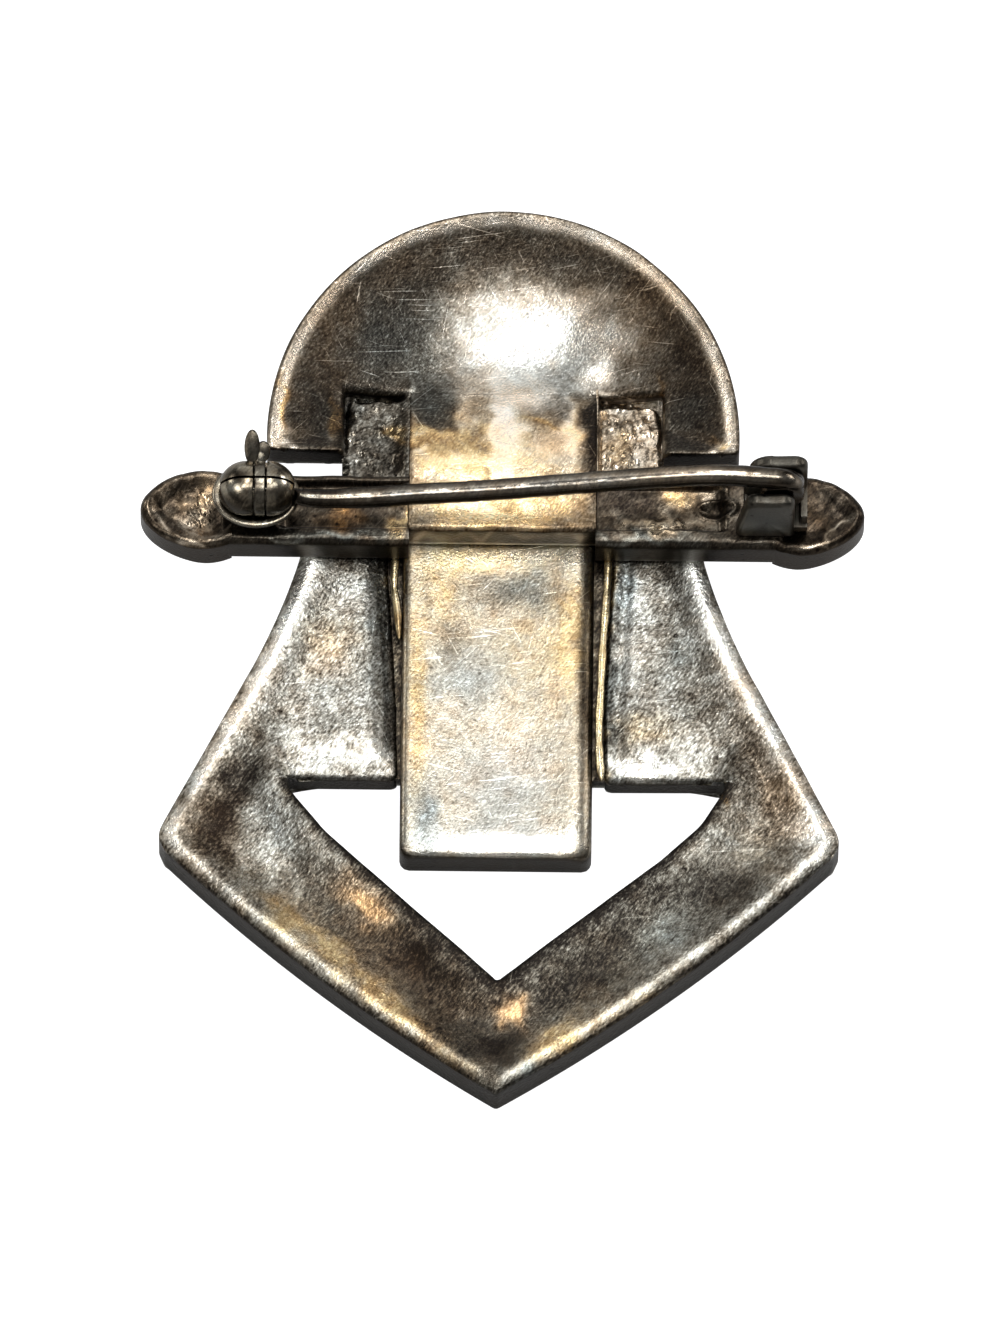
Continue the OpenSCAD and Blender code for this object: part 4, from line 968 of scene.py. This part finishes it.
    # A painted highlight just inside the rim.
    def paintedRimLine(points):
        line = softLine(distanceTo(outer[::2], points[:, :2]), *s["paintedRimLine"])
        bright = s["rimHighlight"] + 0.1 * handWaves(points[:, :2], 2.4, 1.0, 72)
        return -line * bright * (points[:, 1] > s["foot"])

    paintMetal(piece, s, metals["domeSilver"], paintedRimLine)


makeDome(dome)
print("dome made")

# Crossbar: a side stretch on either hand, with a channel and a rounded lower rim. The mound and the
# pit are x, y, half width and half height.
bar = {
    "inner": 4.78, "neck": 14.4, "half": 1.93, "front": 2.4, "channel": 0.45, "rimIn": -1.02, "lipIn": 1.5,
    "mound": (7.9, -0.75, 2.2, 0.5), "pit": (10.95, 0.3, 0.95, 0.52), "tone": 0.88, "gold": 0.1,
    "warm": 0.3, "wallShadeTone": 0.9, "channelEnd": (11.6, 11.0),
    # The thin light rows along the lower rim (at 285,541 and 640,540) are painted highlights.
    "tonePatches": [
        (342, 517, 15, 8, 0, -0.1), (285, 541, 18, 2.5, 0, -0.34), (680, 512, 30, 10, 0, 0.08),
        (340, 505, 60, 9, 0, 0.05), (399, 522, 8, 20, 12, -0.45), (350, 537, 60, 6, 0, -0.14),
        (680, 500, 20, 15, 0, -0.38), (625, 500, 26, 14, 0, 0.1), (668, 526, 64, 9, -4, -0.34),
        (640, 540, 60, 4, -2, -0.2), (718, 497, 12, 4, 0, -0.5), (706, 506, 4, 10, 0, -0.4),
        (720, 507, 9, 6, 0, 0.12), (560, 500, 8, 30, 0, 0.25)],
    "goldPatches": [
        (342, 517, 17, 9, 0, 1.3), (399, 522, 9, 24, 10, 1.1), (680, 498, 20, 13, 0, 1.0),
        (650, 526, 50, 9, 0, 0.3)],
    "warmPatches": [(342, 517, 18, 10, 0, 2.8), (340, 538, 80, 6, 0, -1.2), (650, 540, 80, 5, 0, -0.8)],
}


# The back is sunk between its rims; on the right a mound of solder runs along it, with a ring-edged
# pit beside it: Gaussians of the distances from their middles.
def makeBarSide(s, side, hand):
    grid = boxGrid(s["inner"], s["neck"], -s["half"], s["half"], 90, 60, 0.3)
    xy = grid.reshape(-1, 2)
    x, y = xy[:, 0], xy[:, 1]
    rimIn, lipIn = s["rimIn"], s["lipIn"]
    channel = smoothStep(rimIn - 0.12, rimIn + 0.16, y) * smoothStep(lipIn + 0.12, lipIn - 0.12, y)
    channel *= smoothStep(*s["channelEnd"], x)
    back = barBack - s["channel"] * channel + handWaves(xy + side * 7, 2.4, 0.03, 31)
    back = back + handWaves(xy, 0.8, 0.012, 32)
    if side > 0:
        pitX, pitY, wide, high = s["pit"]
        ring = np.hypot((x - pitX) / wide, (y - pitY) / high)
        back += 0.3 * softSpot(xy, *s["mound"]) * (1 + 0.4 * handWaves(xy, 0.9, 1.0, 33))
        back += 0.12 * softLine(ring, 1, 0.2) - 0.32 * softLine(ring, 0, 0.7)
    back -= edgeFall(y + s["half"], 0.42) + edgeFall(s["half"] - y, 0.25) + edgeFall(s["neck"] - x, 0.1)
    front = np.full(len(xy), s["front"]) + edgeFall(y + s["half"], 0.12) + edgeFall(s["half"] - y, 0.12)
    piece = sheetSolid("bar" + hand, xy * [side, 1], gridQuads(*grid.shape[:2]), back, front)
    paintMetal(piece, s, metals["barSilver"])


hands = ((-1, "Left"), (1, "Right"))
for side, hand in hands:
    makeBarSide(bar, side, hand)

# Core of the bar behind the plate, and the dark step between the plate and the column.
barCore = {
    "box": (-4.9, 4.9, -1.0, 1.93), "steps": (30, 20), "heights": (3.6, 2.4), "tone": 0.85, "gold": 0.2,
    "wallShadeTone": 0.9,
}
makePlainSheet("barCore", barCore, metals["barSilver"])
print("crossbar made")

# Spearheads at the bar's ends. The lumps of solder are x, y, half width and half height.
spear = {
    "neck": 13.85, "length": 4.7, "high": 4.4, "front": 2.1, "round": 0.42, "lumps": (15.4, -0.2, 0.9, 1.1),
    "dishFrom": (0.25, 1.3),
    "Left": {
        "tone": 0.83, "gold": 0.05, "warm": 0.5, "wallShadeTone": 0.9, "dish": 0.45,
        # The thin light lines along the rims (at 196,549 and 160,525) are painted highlights.
        "tonePatches": [
            (205, 500, 15, 26, 20, -0.52), (190, 530, 26, 8, 28, -0.25), (184, 508, 14, 10, 0, 0.1),
            (196, 549, 26, 3, 12, -0.55), (160, 525, 3, 20, -40, -0.4), (222, 520, 8, 20, 0, 0.1)],
        "goldPatches": [(205, 500, 14, 22, 20, 0.5)],
        "warmPatches": [(205, 500, 18, 26, 20, 0.6)]},
    "Right": {
        "tone": 0.91, "gold": 0.06, "warm": 0.5, "wallShadeTone": 0.9, "dish": 0.24,
        # The thin light lines along the lower rims (at 838,528 and 812,548) are painted highlights.
        "tonePatches": [
            (838, 528, 3, 22, 42, -0.45), (812, 548, 24, 3, -14, -0.55), (800, 500, 20, 14, 0, 0.02)],
        "goldPatches": [(815, 520, 18, 20, 0, 0.3)]},
}


# Half the width of a spearhead: the root of a sine that starts beyond its zero at the neck.
def spearHalf(s, t):
    return s["high"] / 2 * np.sqrt(np.maximum(np.sin(np.pi * (0.22 + 0.78 * t) ** 0.9), 0))


# The back is dished inside its rounded rim, and on the left lumpy with solder; the front rises
# towards its edge.
def makeSpear(s, side, hand):
    t = 1 - (1 - np.linspace(0, 1, 120)) ** 1.8
    half = np.maximum(0.03, spearHalf(s, t))
    along = s["neck"] + s["length"] * t
    upper, lower = np.stack([along, half], 1), np.stack([along, -half], 1)
    v = acrossSteps(2 * half, 0.008, 0.008, 70)
    grid = lower[:, None] * (1 - v[..., None]) + upper[:, None] * v[..., None]
    xy = grid.reshape(-1, 2)
    x = xy[:, 0]
    away = distanceTo(np.concatenate([lower, upper[::-1]]), xy)
    dish = s[hand]["dish"] * smoothStep(*s["dishFrom"], away)
    back = barBack - dish * smoothStep(s["neck"], s["neck"] + 1.1, x)
    back -= edgeFall(away, s["round"])
    back += handWaves(xy + side * 11, 1.8, 0.03, 41) + handWaves(xy + side * 5, 0.7, 0.015, 42)
    if side < 0:
        back += 0.05 * softSpot(xy, *s["lumps"]) * handWaves(xy, 0.35, 1.0, 43)
    rise = edgeFall(away, 0.45, 0.5) * smoothStep(s["neck"] + 1.0, s["neck"] + 3.6, x)
    front = s["front"] + rise + edgeFall(away, 0.1)
    piece = sheetSolid("spear" + hand, xy * [side, 1], gridQuads(*grid.shape[:2]), back, front)
    paintMetal(piece, s[hand], metals["barSilver"])


for side, hand in hands:
    makeSpear(spear, side, hand)
print("spearheads made")

# Straps in the dome's notches. The lip and the solder have a value for the left and one for the
# right; the fall is a top, a drop, its start and its stop; the hump is a rise, a sinking and a width.
strap = {
    "x": 6.5, "wide": 3.5, "top": 8.1, "end": 1.5, "lip": (7.2, 6.95), "solder": (5.75, 5.1),
    "fall": (3.85, 1.75, 1.6, 7.4), "hump": (0.1, 0.16, 1.6), "sideStep": (1.42, 1.62, 0.24),
    "sideFrom": (3.6, 4.2), "runTo": 4.85,
    "Left": {
        "tone": 0.72, "gold": 0.05, "warm": 0.1,
        "tonePatches": [
            (350, 450, 6, 30, 0, -0.2), (375, 410, 26, 16, 0, -0.14), (394, 434, 10, 8, 0, -0.2),
            (395, 460, 12, 20, 0, 0.14)],
        "goldPatches": [(394, 434, 11, 9, 0, 1.4)]},
    "Right": {
        "tone": 0.4, "gold": 0.1, "warm": 0.6,
        # The light line along the top edge (628,406) is a painted highlight, and the dark line along the left
        # edge (597,440) is painted shade.
        "tonePatches": [
            (628, 406, 26, 6, 0, -0.26), (645, 440, 10, 26, 0, -0.18), (597, 440, 4, 34, 0, 0.4),
            (620, 425, 10, 12, 0, 0.34), (632, 455, 10, 12, 0, 0.14)],
        "goldPatches": [(618, 450, 16, 20, 0, 0.45)]},
}


# The back falls towards the dome as a power of the way along, is lumpy with solder and humped
# across as rise - sink * (x / width)^2, and steps down behind its lip and at its sides.
def makeStrap(s, side, hand):
    half, lip, solder = s["wide"] / 2, s["lip"][side > 0], s["solder"][side > 0]
    grid = boxGrid(s["x"] - half, s["x"] + half, s["end"], s["top"], 44, 70, 0.12)
    xy = grid.reshape(-1, 2)
    x, y = xy[:, 0], xy[:, 1]
    aside = np.abs(x - s["x"])
    (top, drop, start, stop), (rise, sink, wide) = s["fall"], s["hump"]
    back = top - drop * np.clip((y - start) / (stop - start), 0, 1) ** 1.1
    back += handWaves(xy + side * 3, 1.1, 0.07, 51) + handWaves(xy + side, 0.42, 0.03, 52)
    back += rise - sink * (aside / wide) ** 2 - 0.6 * smoothStep(lip - 0.25, lip, y)
    stepFrom, stepTo, step = s["sideStep"]
    back -= step * smoothStep(stepFrom, stepTo, aside) * smoothStep(*s["sideFrom"], y)
    # The solder runs up to the plate's edge.
    run = smoothStep(solder, s["runTo"], x)
    back = back * (1 - run) + np.maximum(back, barBack - 0.10 - plateFall(y)) * run
    front = np.minimum(back - 0.95, 2.4)
    piece = sheetSolid("strap" + hand, xy * [side, 1], gridQuads(*grid.shape[:2]), back, front, 3)
    paintMetal(piece, s[hand], metals["solderedStrap"])


for side, hand in hands:
    makeStrap(strap, side, hand)
print("straps made")

# Pin: the wire's radii at places along X, its route, and its painted highlight along the top as lean, width
# and amount. The knuckle has a middle, and a radius, half a length and a bore.
pin = {
    "sides": 40, "ridgeHighlight": (0.28, 0.42, -0.46), "knuckle": (14.3, 0.13, 7.1),
    "knuckleSize": (1.12, 0.6, 0.44),
    "radii": [(-13.5, 0.03), (-11.6, 0.17), (-10.72, 0.21), (-10.46, 0.46), (-7, 0.56)],
    "route": [
        (-13.5, 0, 6.55), (-12.4, 0, 6.55), (-11.3, 0, 6.53), (-10.8, -0.06, 6.5), (-10.4, -0.27, 6.33),
        (-9.9, -0.33, 6.22), (-9.1, -0.32, 6.12), (-8.2, -0.26, 6.06), (-6.3, -0.18, 6.13),
        (-4.2, -0.11, 6.38), (-2.1, -0.05, 6.55), (0, 0, 6.82), (2, 0.08, 7.06), (4, 0.08, 7.48),
        (6, 0.09, 7.86), (8.1, 0.12, 8.2), (10.1, 0.14, 8.45), (11.6, 0.13, 8.5), (12.8, 0.1, 8.42),
        (13.7, 0.1, 8.3), (14.4, 0.13, 8.06), (14.78, 0.13, 7.6), (14.86, 0.13, 7.1)],
    "tone": 0.84, "warm": 0.35, "wallShadeTone": 0.9, "wallUp": 0.8, "frontTone": 0.88,
    # The tone patches dim and lift the wire's highlight along its length and darken its bend at the catch:
    # painted light and shade.
    "tonePatches": [
        (297, 493, 7, 12, 0, 0.6), (318, 497, 34, 16, 0, 0.2), (380, 496, 14, 12, 0, 0.1),
        (600, 480, 60, 14, 0, -0.1), (690, 473, 50, 14, 0, -0.08), (752, 474, 24, 14, 0, 0.14),
        (785, 480, 14, 14, 0, 0.12)],
    "warmPatches": [(700, 474, 90, 14, 0, 0.3)],
}


# A round wire about a route near the XZ plane, with radii read off a table and slightly uneven. Its
# point closes as a quarter circle. The knuckle is a drum on the rivet with rounded rims.
def makePin(s):
    path = smoothRoute(s["route"], 14)
    radius = np.interp(path[:, 0], *np.transpose(s["radii"])) - 0.01
    fromPoint = np.clip((path[:, 0] - s["radii"][0][0]) / 0.1 + 0.03, 0, 1)
    radius = radius * np.sqrt(1 - (1 - fromPoint) ** 2)
    radius = radius * (1 + 0.012 * np.sin(path[:, 0] * 3.1) + 0.008 * np.sin(path[:, 0] * 7.7 + 1))
    along = directions(np.gradient(path, axis=0))
    across = directions(np.cross(np.tile([0, 1, 0], (len(path), 1)), along))
    rings = ringsAbout(path, radius, across[:, None], np.cross(along, across)[:, None], s["sides"])
    wire = ringSolid("pinWire", rings, "pin")
    # A painted highlight along the wire's top: a soft band of lighter tone.
    lean, wide, amount = s["ridgeHighlight"]
    ridgeHighlight = amount * softLine(fullTurn(s["sides"]) - np.pi, lean, wide)
    paintMetal(wire, s, metals["pinWire"], lambda points: np.concatenate([np.tile(ridgeHighlight, len(path)), [0, 0]]))
    (x, y, z), (outer, half, bore) = s["knuckle"], s["knuckleSize"]
    across = half * np.array([-1, -0.96, -0.86, -0.6, 0, 0.6, 0.86, 0.96, 1])
    size = outer * np.array([0.86, 0.93, 0.98, 1, 1, 1, 0.98, 0.93, 0.86])
    turn = fullTurn(72)
    rings = np.stack([x + size[:, None] * np.sin(turn), np.broadcast_to(y + across[:, None], (len(size), 72)),
                      z + size[:, None] * np.cos(turn)], -1)
    inner = np.stack([x + bore * np.sin(turn), np.full(72, y), z + bore * np.cos(turn)], -1)[None]
    closed = np.concatenate([inner - [0, half, 0], rings, inner + [0, half, 0], inner - [0, half, 0]])
    paintMetal(ringSolid("pinKnuckle", closed, "pin", ends=False), s, metals["pinWire"])
    return wire


pinWire = makePin(pin)
print("pin made")

# Hinge bracket. Ears are left, right, y, lean and the round corner's radius; blocks are two ends in X,
# two heights, two ends in Y and the rims' radius; rivet heads are y and the way they face.
hinge = {
    "earT": 0.78, "top": 3.76, "soft": 0.3, "rivet": (14.3, 2.8), "rivetRound": (0.42, 0.04),
    "ears": {"earLower": (11.96, 14.94, -1.34, 0.45, 0.6), "earUpper": (12.35, 15.6, 0.82, 0.25, 1.2)},
    "blocks": {
        "hingeBase": (12.35, 15.6, -0.05, 0.45, -1.0, 1.5, 0.05),
        "hingeEndWall": (15.25, 15.6, 0, 1.25, -0.8, 1.5, 0.1)},
    "rivetHeads": {"rivetHeadLower": (-1.29, -1), "rivetHeadUpper": (1.61, 1)},
    "tone": 0.8, "gold": 0.04, "wallShadeTone": 0.76, "frontTone": 0.8,
    # The light patches on the lower ear's top and the gold one beside them are painted highlights, and the
    # wall patches paint light on the rim of its face.
    "tonePatches": [(770, 462, 24, 8, 0, -0.1), (782, 500, 10, 6, 20, -0.62), (753, 500, 9, 5, 0, -0.45)],
    "wallLightAndShadePatches": [
        (766, 524, 20, 9, 0, 0.02), (738, 528, 5, 10, 20, -0.25), (790, 532, 5, 6, 0, -0.3),
        (766, 538, 26, 3, 0, -0.15)],
    "goldPatches": [(752, 500, 7, 5, 0, 0.6)],
    "warmPatches": [(766, 524, 30, 20, 0, -0.5)],
}


# An outline in X and Z pushed along Y, with its rims turned in a little at both faces.
def pushedOutline(outline, y0, y1, soft):
    mid = outline.mean(0)
    turn = np.linspace(0, np.pi / 2, 9)
    inset = np.concatenate([soft * (1 - np.sin(turn)), soft * (1 - np.sin(turn))[::-1]])
    y = np.concatenate([y0 + soft * (1 - np.cos(turn)), y1 - soft * (1 - np.cos(turn))[::-1]])
    away = outline - mid
    size = np.abs(away).max(0)
    rings = mid + away[None] * (1 - inset[:, None, None] / size)
    return np.stack([rings[..., 0], np.broadcast_to(y[:, None], rings.shape[:2]), rings[..., 1]], -1)


# A closed outline with its points set at even distances.
def closedOutline(points, count):
    loop = np.concatenate([points, points[:1]])
    return pointsAt(loop, np.linspace(0, runLength(loop)[-1], count + 1)[:-1])


# Two ears with one round corner each and a dip along the top, a base, a low end wall, and the
# rivet's heads, filed almost flush.
def makeHinge(s):
    top, pieces = s["top"], []
    for name, (left, right, y, lean, corner) in s["ears"].items():
        w = right - left
        ear = np.concatenate([
            [[0, -0.1], [w * 0.5, -0.1], [w, -0.1], [w, 1.5]],
            arcPoints((w - 0.6, top - 0.6), 0.6, 0, 90, 14),
            [[w * 0.62, top - 0.05], [w * 0.5, top - 0.07], [w * 0.42, top - 0.04]],
            arcPoints((lean + corner, top - corner), corner, 90, 172, 16), [[0.0, 0.6]]])
        rings = pushedOutline(closedOutline(ear, 140) + [left, barBack], y, y + s["earT"], s["soft"])
        pieces.append(ringSolid(name, rings))
    for name, (x0, x1, low, high, y0, y1, soft) in s["blocks"].items():
        block = np.array([[x0, low], [x1, low], [x1, high], [x0, high]]) + [0, barBack]
        pieces.append(ringSolid(name, pushedOutline(closedOutline(block, 40), y0, y1, soft)))
    turn, rise = fullTurn(48), np.linspace(0, np.pi / 2, 6)
    for name, (y, way) in s["rivetHeads"].items():
        size, out = s["rivetRound"][0] * np.cos(rise) + 1e-3, y + way * s["rivetRound"][1] * np.sin(rise)
        rings = np.stack([s["rivet"][0] + size[:, None] * np.sin(turn * way),
                          np.broadcast_to(out[:, None], (len(out), len(turn))),
                          barBack + s["rivet"][1] + size[:, None] * np.cos(turn * way)], -1)
        pieces.append(ringSolid(name, rings, "brooch"))
    for piece in pieces:
        paintMetal(piece, s, metals["hingeSteel"])
    return pieces


hingePieces = makeHinge(hinge)
print("hinge made")

# Safety catch: two halves of a ball beside a slot, on a cupped foot. The cup's outline is distance
# from its axis and height; its rim's painted highlight is an amount, two distances and a height.
catch = {
    "axisZ": 6.55, "ball": 1.43, "left": -13.12, "right": -11.99, "slot": -12.42, "slotWide": 0.7,
    "bore": 0.5, "throat": 0.07, "tone": 0.6, "gold": 0.3, "wallShadeTone": 0.84, "frontTone": 0.75, "sway": 0.5,
    # The tone patches paint the balls' highlights (at 235,489 and 283,482) and darker tops and undersides:
    # painted light and shade.
    "tonePatches": [
        (235, 507, 30, 12, 0, 0.3), (285, 505, 16, 12, 0, 0.3), (238, 476, 18, 6, 0, 0.28),
        (235, 489, 11, 6, 0, -0.4), (283, 471, 12, 5, 0, 0.25), (283, 482, 8, 7, 0, -0.4)],
}
cup = {
    "x": -12.62, "flat": 0.83, "rimHighlight": (-0.24, 1.7, 1.82, 5.6), "tone": 0.84, "gold": 0.25,
    "wallShadeTone": 0.84, "frontTone": 0.8,
    "tonePatches": [(292, 500, 14, 26, 0, 0.2)],
    "outline": [
        (0.0, -0.1), (1.1, -0.1), (1.05, 0.5), (2.12, 1.38), (2.25, 1.47), (2.25, 1.6), (2.15, 1.68),
        (1.84, 1.68), (1.7, 1.58), (0.95, 0.98), (0.0, 0.95)],
}


# A turned part about the X axis whose top is slotted straight down to its bore: each ring of the
# outline runs from one wall of the slot round to the other, at angles from arcsin(half slot / radius).
def slottedTurning(outline, axisZ, halfSlot, steps=97):
    gap = np.arcsin(np.clip(halfSlot / outline[:, 1], 0, 1))
    t = (1 - np.cos(np.linspace(0, np.pi, steps))) / 2
    turn = gap[None] + (2 * np.pi - 2 * gap[None]) * t[:, None]
    radius = outline[None, :, 1]
    x = np.broadcast_to(outline[None, :, 0], turn.shape)
    return np.stack([x, -radius * np.sin(turn), axisZ + radius * np.cos(turn)], -1)


# A half of the catch: the outline runs out along the axis from the slot's face over the ball to its end.
def catchHalf(s, name, side, centre):
    face = s["slot"] + side * s["slotWide"] / 2
    start = np.degrees(np.arcsin(np.clip((face - centre) * side / s["ball"], -1, 1)))
    angle = np.radians(np.linspace(start, 70, 30))
    x, r = centre + side * s["ball"] * np.sin(angle), s["ball"] * np.cos(angle)
    outline = np.stack([np.concatenate([[face, face], x, [x[-1]]]),
                        np.concatenate([[s["bore"], r[0] - 0.08], r, [s["bore"]]])], 1)
    rings = slottedTurning(roundPath(outline, 0.06, 4), s["axisZ"], s["throat"])
    return ringSolid(name, rings[:, ::-1] if side > 0 else rings, sharp=60)


# The halves are turned about X, and the cup about Z and a little flattened along Y.
def makeCatch(s, c):
    for name, side, centre in (("catchLeft", -1, s["left"]), ("catchRight", 1, s["right"])):
        paintMetal(catchHalf(s, name, side, centre), s, metals["catchNickel"])
    away, high = roundPath(c["outline"], 0.1, 6).T[..., None]
    turn = fullTurn(120)
    rings = np.stack([c["x"] + away * np.cos(turn), c["flat"] * away * np.sin(turn),
                      np.broadcast_to(barBack + high, (len(high), len(turn)))], -1)

    # A painted highlight on the cup's flat rim, beyond a distance from its axis.
    def rimHighlight(points):
        amount, near, far, low = c["rimHighlight"]
        fromAxis = np.hypot(points[:, 0] - c["x"], points[:, 1] / c["flat"])
        return amount * smoothStep(near, far, fromAxis) * smoothStep(low, low + 0.1, points[:, 2])

    paintMetal(ringSolid("catchCup", rings[1:-1], sharp=60), c, metals["catchNickel"], rimHighlight)


makeCatch(catch, cup)
print("catch made")

# Lock: a thin wheel between the halves (bore, radius and half a thickness), with a lever. Its leaves
# are x, low and high end, width and lift.
lock = {
    "x": -12.42, "axisZ": 6.55, "wheel": (0.5, 1.43, 0.27), "throat": 0.07, "lean": 62, "leafThick": 0.3,
    "leaves": {
        "lockNeck": (-12.42, 1.0, 1.95, 0.58, 0.0), "leafTall": (-12.84, 1.22, 3.04, 0.8, 0.05),
        "leafShort": (-12.28, 1.36, 2.46, 0.74, -0.04)},
    "tone": 0.76, "gold": 0.2, "wallShadeTone": 0.76, "frontTone": 0.7,
    # The two tone patches are painted highlights on the wheel and the lever.
    "tonePatches": [(260, 484, 6, 7, 0, -0.3), (261, 458, 5, 5, 0, -0.3)],
}


# A leaf is an oval in the plane of the lever, with rims rounded off on both faces.
def leafRings(s, x, low, high, wide, lift):
    turn, rise = fullTurn(48), np.linspace(-np.pi / 2, np.pi / 2, 9)[:, None]
    size, thick = 0.84 + 0.16 * np.cos(rise), lift + s["leafThick"] / 2 * np.sin(rise)
    along = (low + high) / 2 + size * (high - low) / 2 * np.sin(turn)
    c, n = np.cos(np.radians(s["lean"])), np.sin(np.radians(s["lean"]))
    return np.stack([x + size * wide / 2 * np.cos(turn), along * n - thick * c,
                     s["axisZ"] + along * c + thick * n], -1)


# The wheel is turned about X like the catch's halves, and slotted like them.
def makeLock(s):
    inner, outer, half = s["wheel"]
    left, right = s["x"] - half, s["x"] + half
    outline = roundPath([(left, inner), (left, outer), (right, outer), (right, inner)], 0.07, 5)
    parts = {"lockWheel": slottedTurning(outline, s["axisZ"], s["throat"])[:, ::-1]}
    parts |= {name: leafRings(s, *leaf) for name, leaf in s["leaves"].items()}
    pieces = [ringSolid(name, rings, "lock", sharp=60) for name, rings in parts.items()]
    for piece in pieces:
        paintMetal(piece, s, metals["catchNickel"])
    return pieces[0]


lockWheel = makeLock(lock)
print("lock made")


# Marcasite: a dark metallic stone whose colour and roughness sway with two noises.
def stoneFinish():
    material = bpy.data.materials.new("marcasite")
    material.use_nodes = True
    tree = Tree(material.node_tree)
    surface = material.node_tree.nodes["Principled BSDF"]
    place = tree.add("ShaderNodeTexCoord").outputs["Object"]
    colour = tree.ramp(tree.noise(place, 1500, 3), [(0.3, (0.20, 0.185, 0.165)), (0.7, (0.42, 0.40, 0.37))])
    tree.feed(surface.inputs["Base Color"], colour)
    tree.feed(surface.inputs["Roughness"], tree.ramp(tree.noise(place, 4000, 2), [(0.3, 0.08), (0.7, 0.22)]))
    surface.inputs["Metallic"].default_value = 1
    return material


marcasite = stoneFinish()
for node in ("dome_stones", "bar_stones", "shield_stones", "column_stones"):
    nodes[node].data.materials.clear()
    nodes[node].data.materials.append(marcasite)
print("stones finished")

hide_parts("silver_body")
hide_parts("pin_stem")
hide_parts("hinge_rivet")
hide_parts("catch_lock")


# A sheet of paper: white to the camera, and dim in the metal's reflections.
def stageFloor(half=3):
    mesh = bpy.data.meshes.new("floor")
    corners = [(-half, -half, 0), (half, -half, 0), (half, half, 0), (-half, half, 0)]
    mesh.from_pydata(corners, [], [(0, 1, 2, 3)])
    floor = bpy.data.objects.new("floor", mesh)
    bpy.context.scene.collection.objects.link(floor)
    paper = bpy.data.materials.new("paper")
    paper.use_nodes = True
    tree = Tree(paper.node_tree)
    surface = paper.node_tree.nodes["Principled BSDF"]
    surface.inputs["Base Color"].default_value = (0.5, 0.5, 0.5, 1)
    surface.inputs["Roughness"].default_value = 0.9
    surface.inputs["Emission Color"].default_value = (1, 1, 1, 1)
    tree.feed(surface.inputs["Emission Strength"], tree.add("ShaderNodeLightPath").outputs["Is Camera Ray"])
    mesh.materials.append(paper)


# A light at a distance, an azimuth (0 is the camera's side, 90 the right) and an elevation, turned
# to face the brooch.
def softLight(name, azimuth, elevation, distance, size, power, colour=(1, 1, 1)):
    light = bpy.data.lights.new(name, "AREA")
    light.shape = "RECTANGLE"
    light.size, light.size_y = size
    light.energy = power
    light.color = colour
    a, e = np.radians(azimuth), np.radians(elevation)
    place = Vector((np.sin(a) * np.cos(e), -np.cos(a) * np.cos(e), np.sin(e))) * distance
    lamp = bpy.data.objects.new(name, light)
    lamp.location = place
    lamp.rotation_euler = (-place).to_track_quat("-Z", "Y").to_euler()
    bpy.context.scene.collection.objects.link(lamp)


stageFloor()
softLight("topBox", 162, 79, 0.9, (0.22, 0.32), 2.9)
softLight("overStrip", 0, 77, 0.9, (0.5, 0.16), 1.6)
softLight("backPanel", 180, 38, 1.0, (1.0, 1.35), 4.2)
softLight("frontPanel", 0, 26, 0.9, (0.9, 0.6), 0.5, (1, 0.99, 0.97))
softLight("leftSoft", -59, 49, 0.9, (0.4, 0.32), 1.1, (1, 0.98, 0.95))
softLight("rightSoft", 80, 66, 0.9, (0.24, 0.2), 0.7, (1, 0.98, 0.95))
softLight("leftBox", -118, 24, 0.9, (0.4, 0.22), 1.5, (1, 0.98, 0.95))
softLight("rightBox", 116, 22, 0.9, (0.4, 0.22), 1.7, (1, 0.97, 0.94))

world = bpy.data.worlds.new("room")
bpy.context.scene.world = world
world.use_nodes = True
sky = world.node_tree.nodes["Background"].inputs
sky["Color"].default_value = (0.95, 0.97, 1.0, 1)
sky["Strength"].default_value = 0.12

camera = {
    "elevation": 65.04, "distance": 1.5, "roll": 0.633, "pixelsPerMm": 19.545, "sensor": 36,
    "target": (-0.00004, -0.00048, 0.0024),
}


# Looks at its target from the front at an elevation. The lens is the sensor's width times the
# distance, over the width that the picture shows there.
def makeCamera(s):
    data = bpy.data.cameras.new("camera")
    data.sensor_fit = "HORIZONTAL"
    data.sensor_width = s["sensor"]
    data.lens = s["pixelsPerMm"] / mm * s["distance"] * s["sensor"] / picture["wide"]
    data.clip_end = 10
    eye = bpy.data.objects.new("camera", data)
    e = np.radians(s["elevation"])
    target = Vector(s["target"])
    eye.location = target + Vector((0, -np.cos(e), np.sin(e))) * s["distance"]
    turn = (target - eye.location).to_track_quat("-Z", "Y").to_matrix()
    eye.rotation_euler = (turn @ Matrix.Rotation(np.radians(s["roll"]), 3, "Z")).to_euler()
    bpy.context.scene.collection.objects.link(eye)
    bpy.context.scene.camera = eye


makeCamera(camera)
bpy.context.scene.view_settings.view_transform = "Standard"
bpy.context.scene.view_settings.exposure = 0.0
print("stage set")
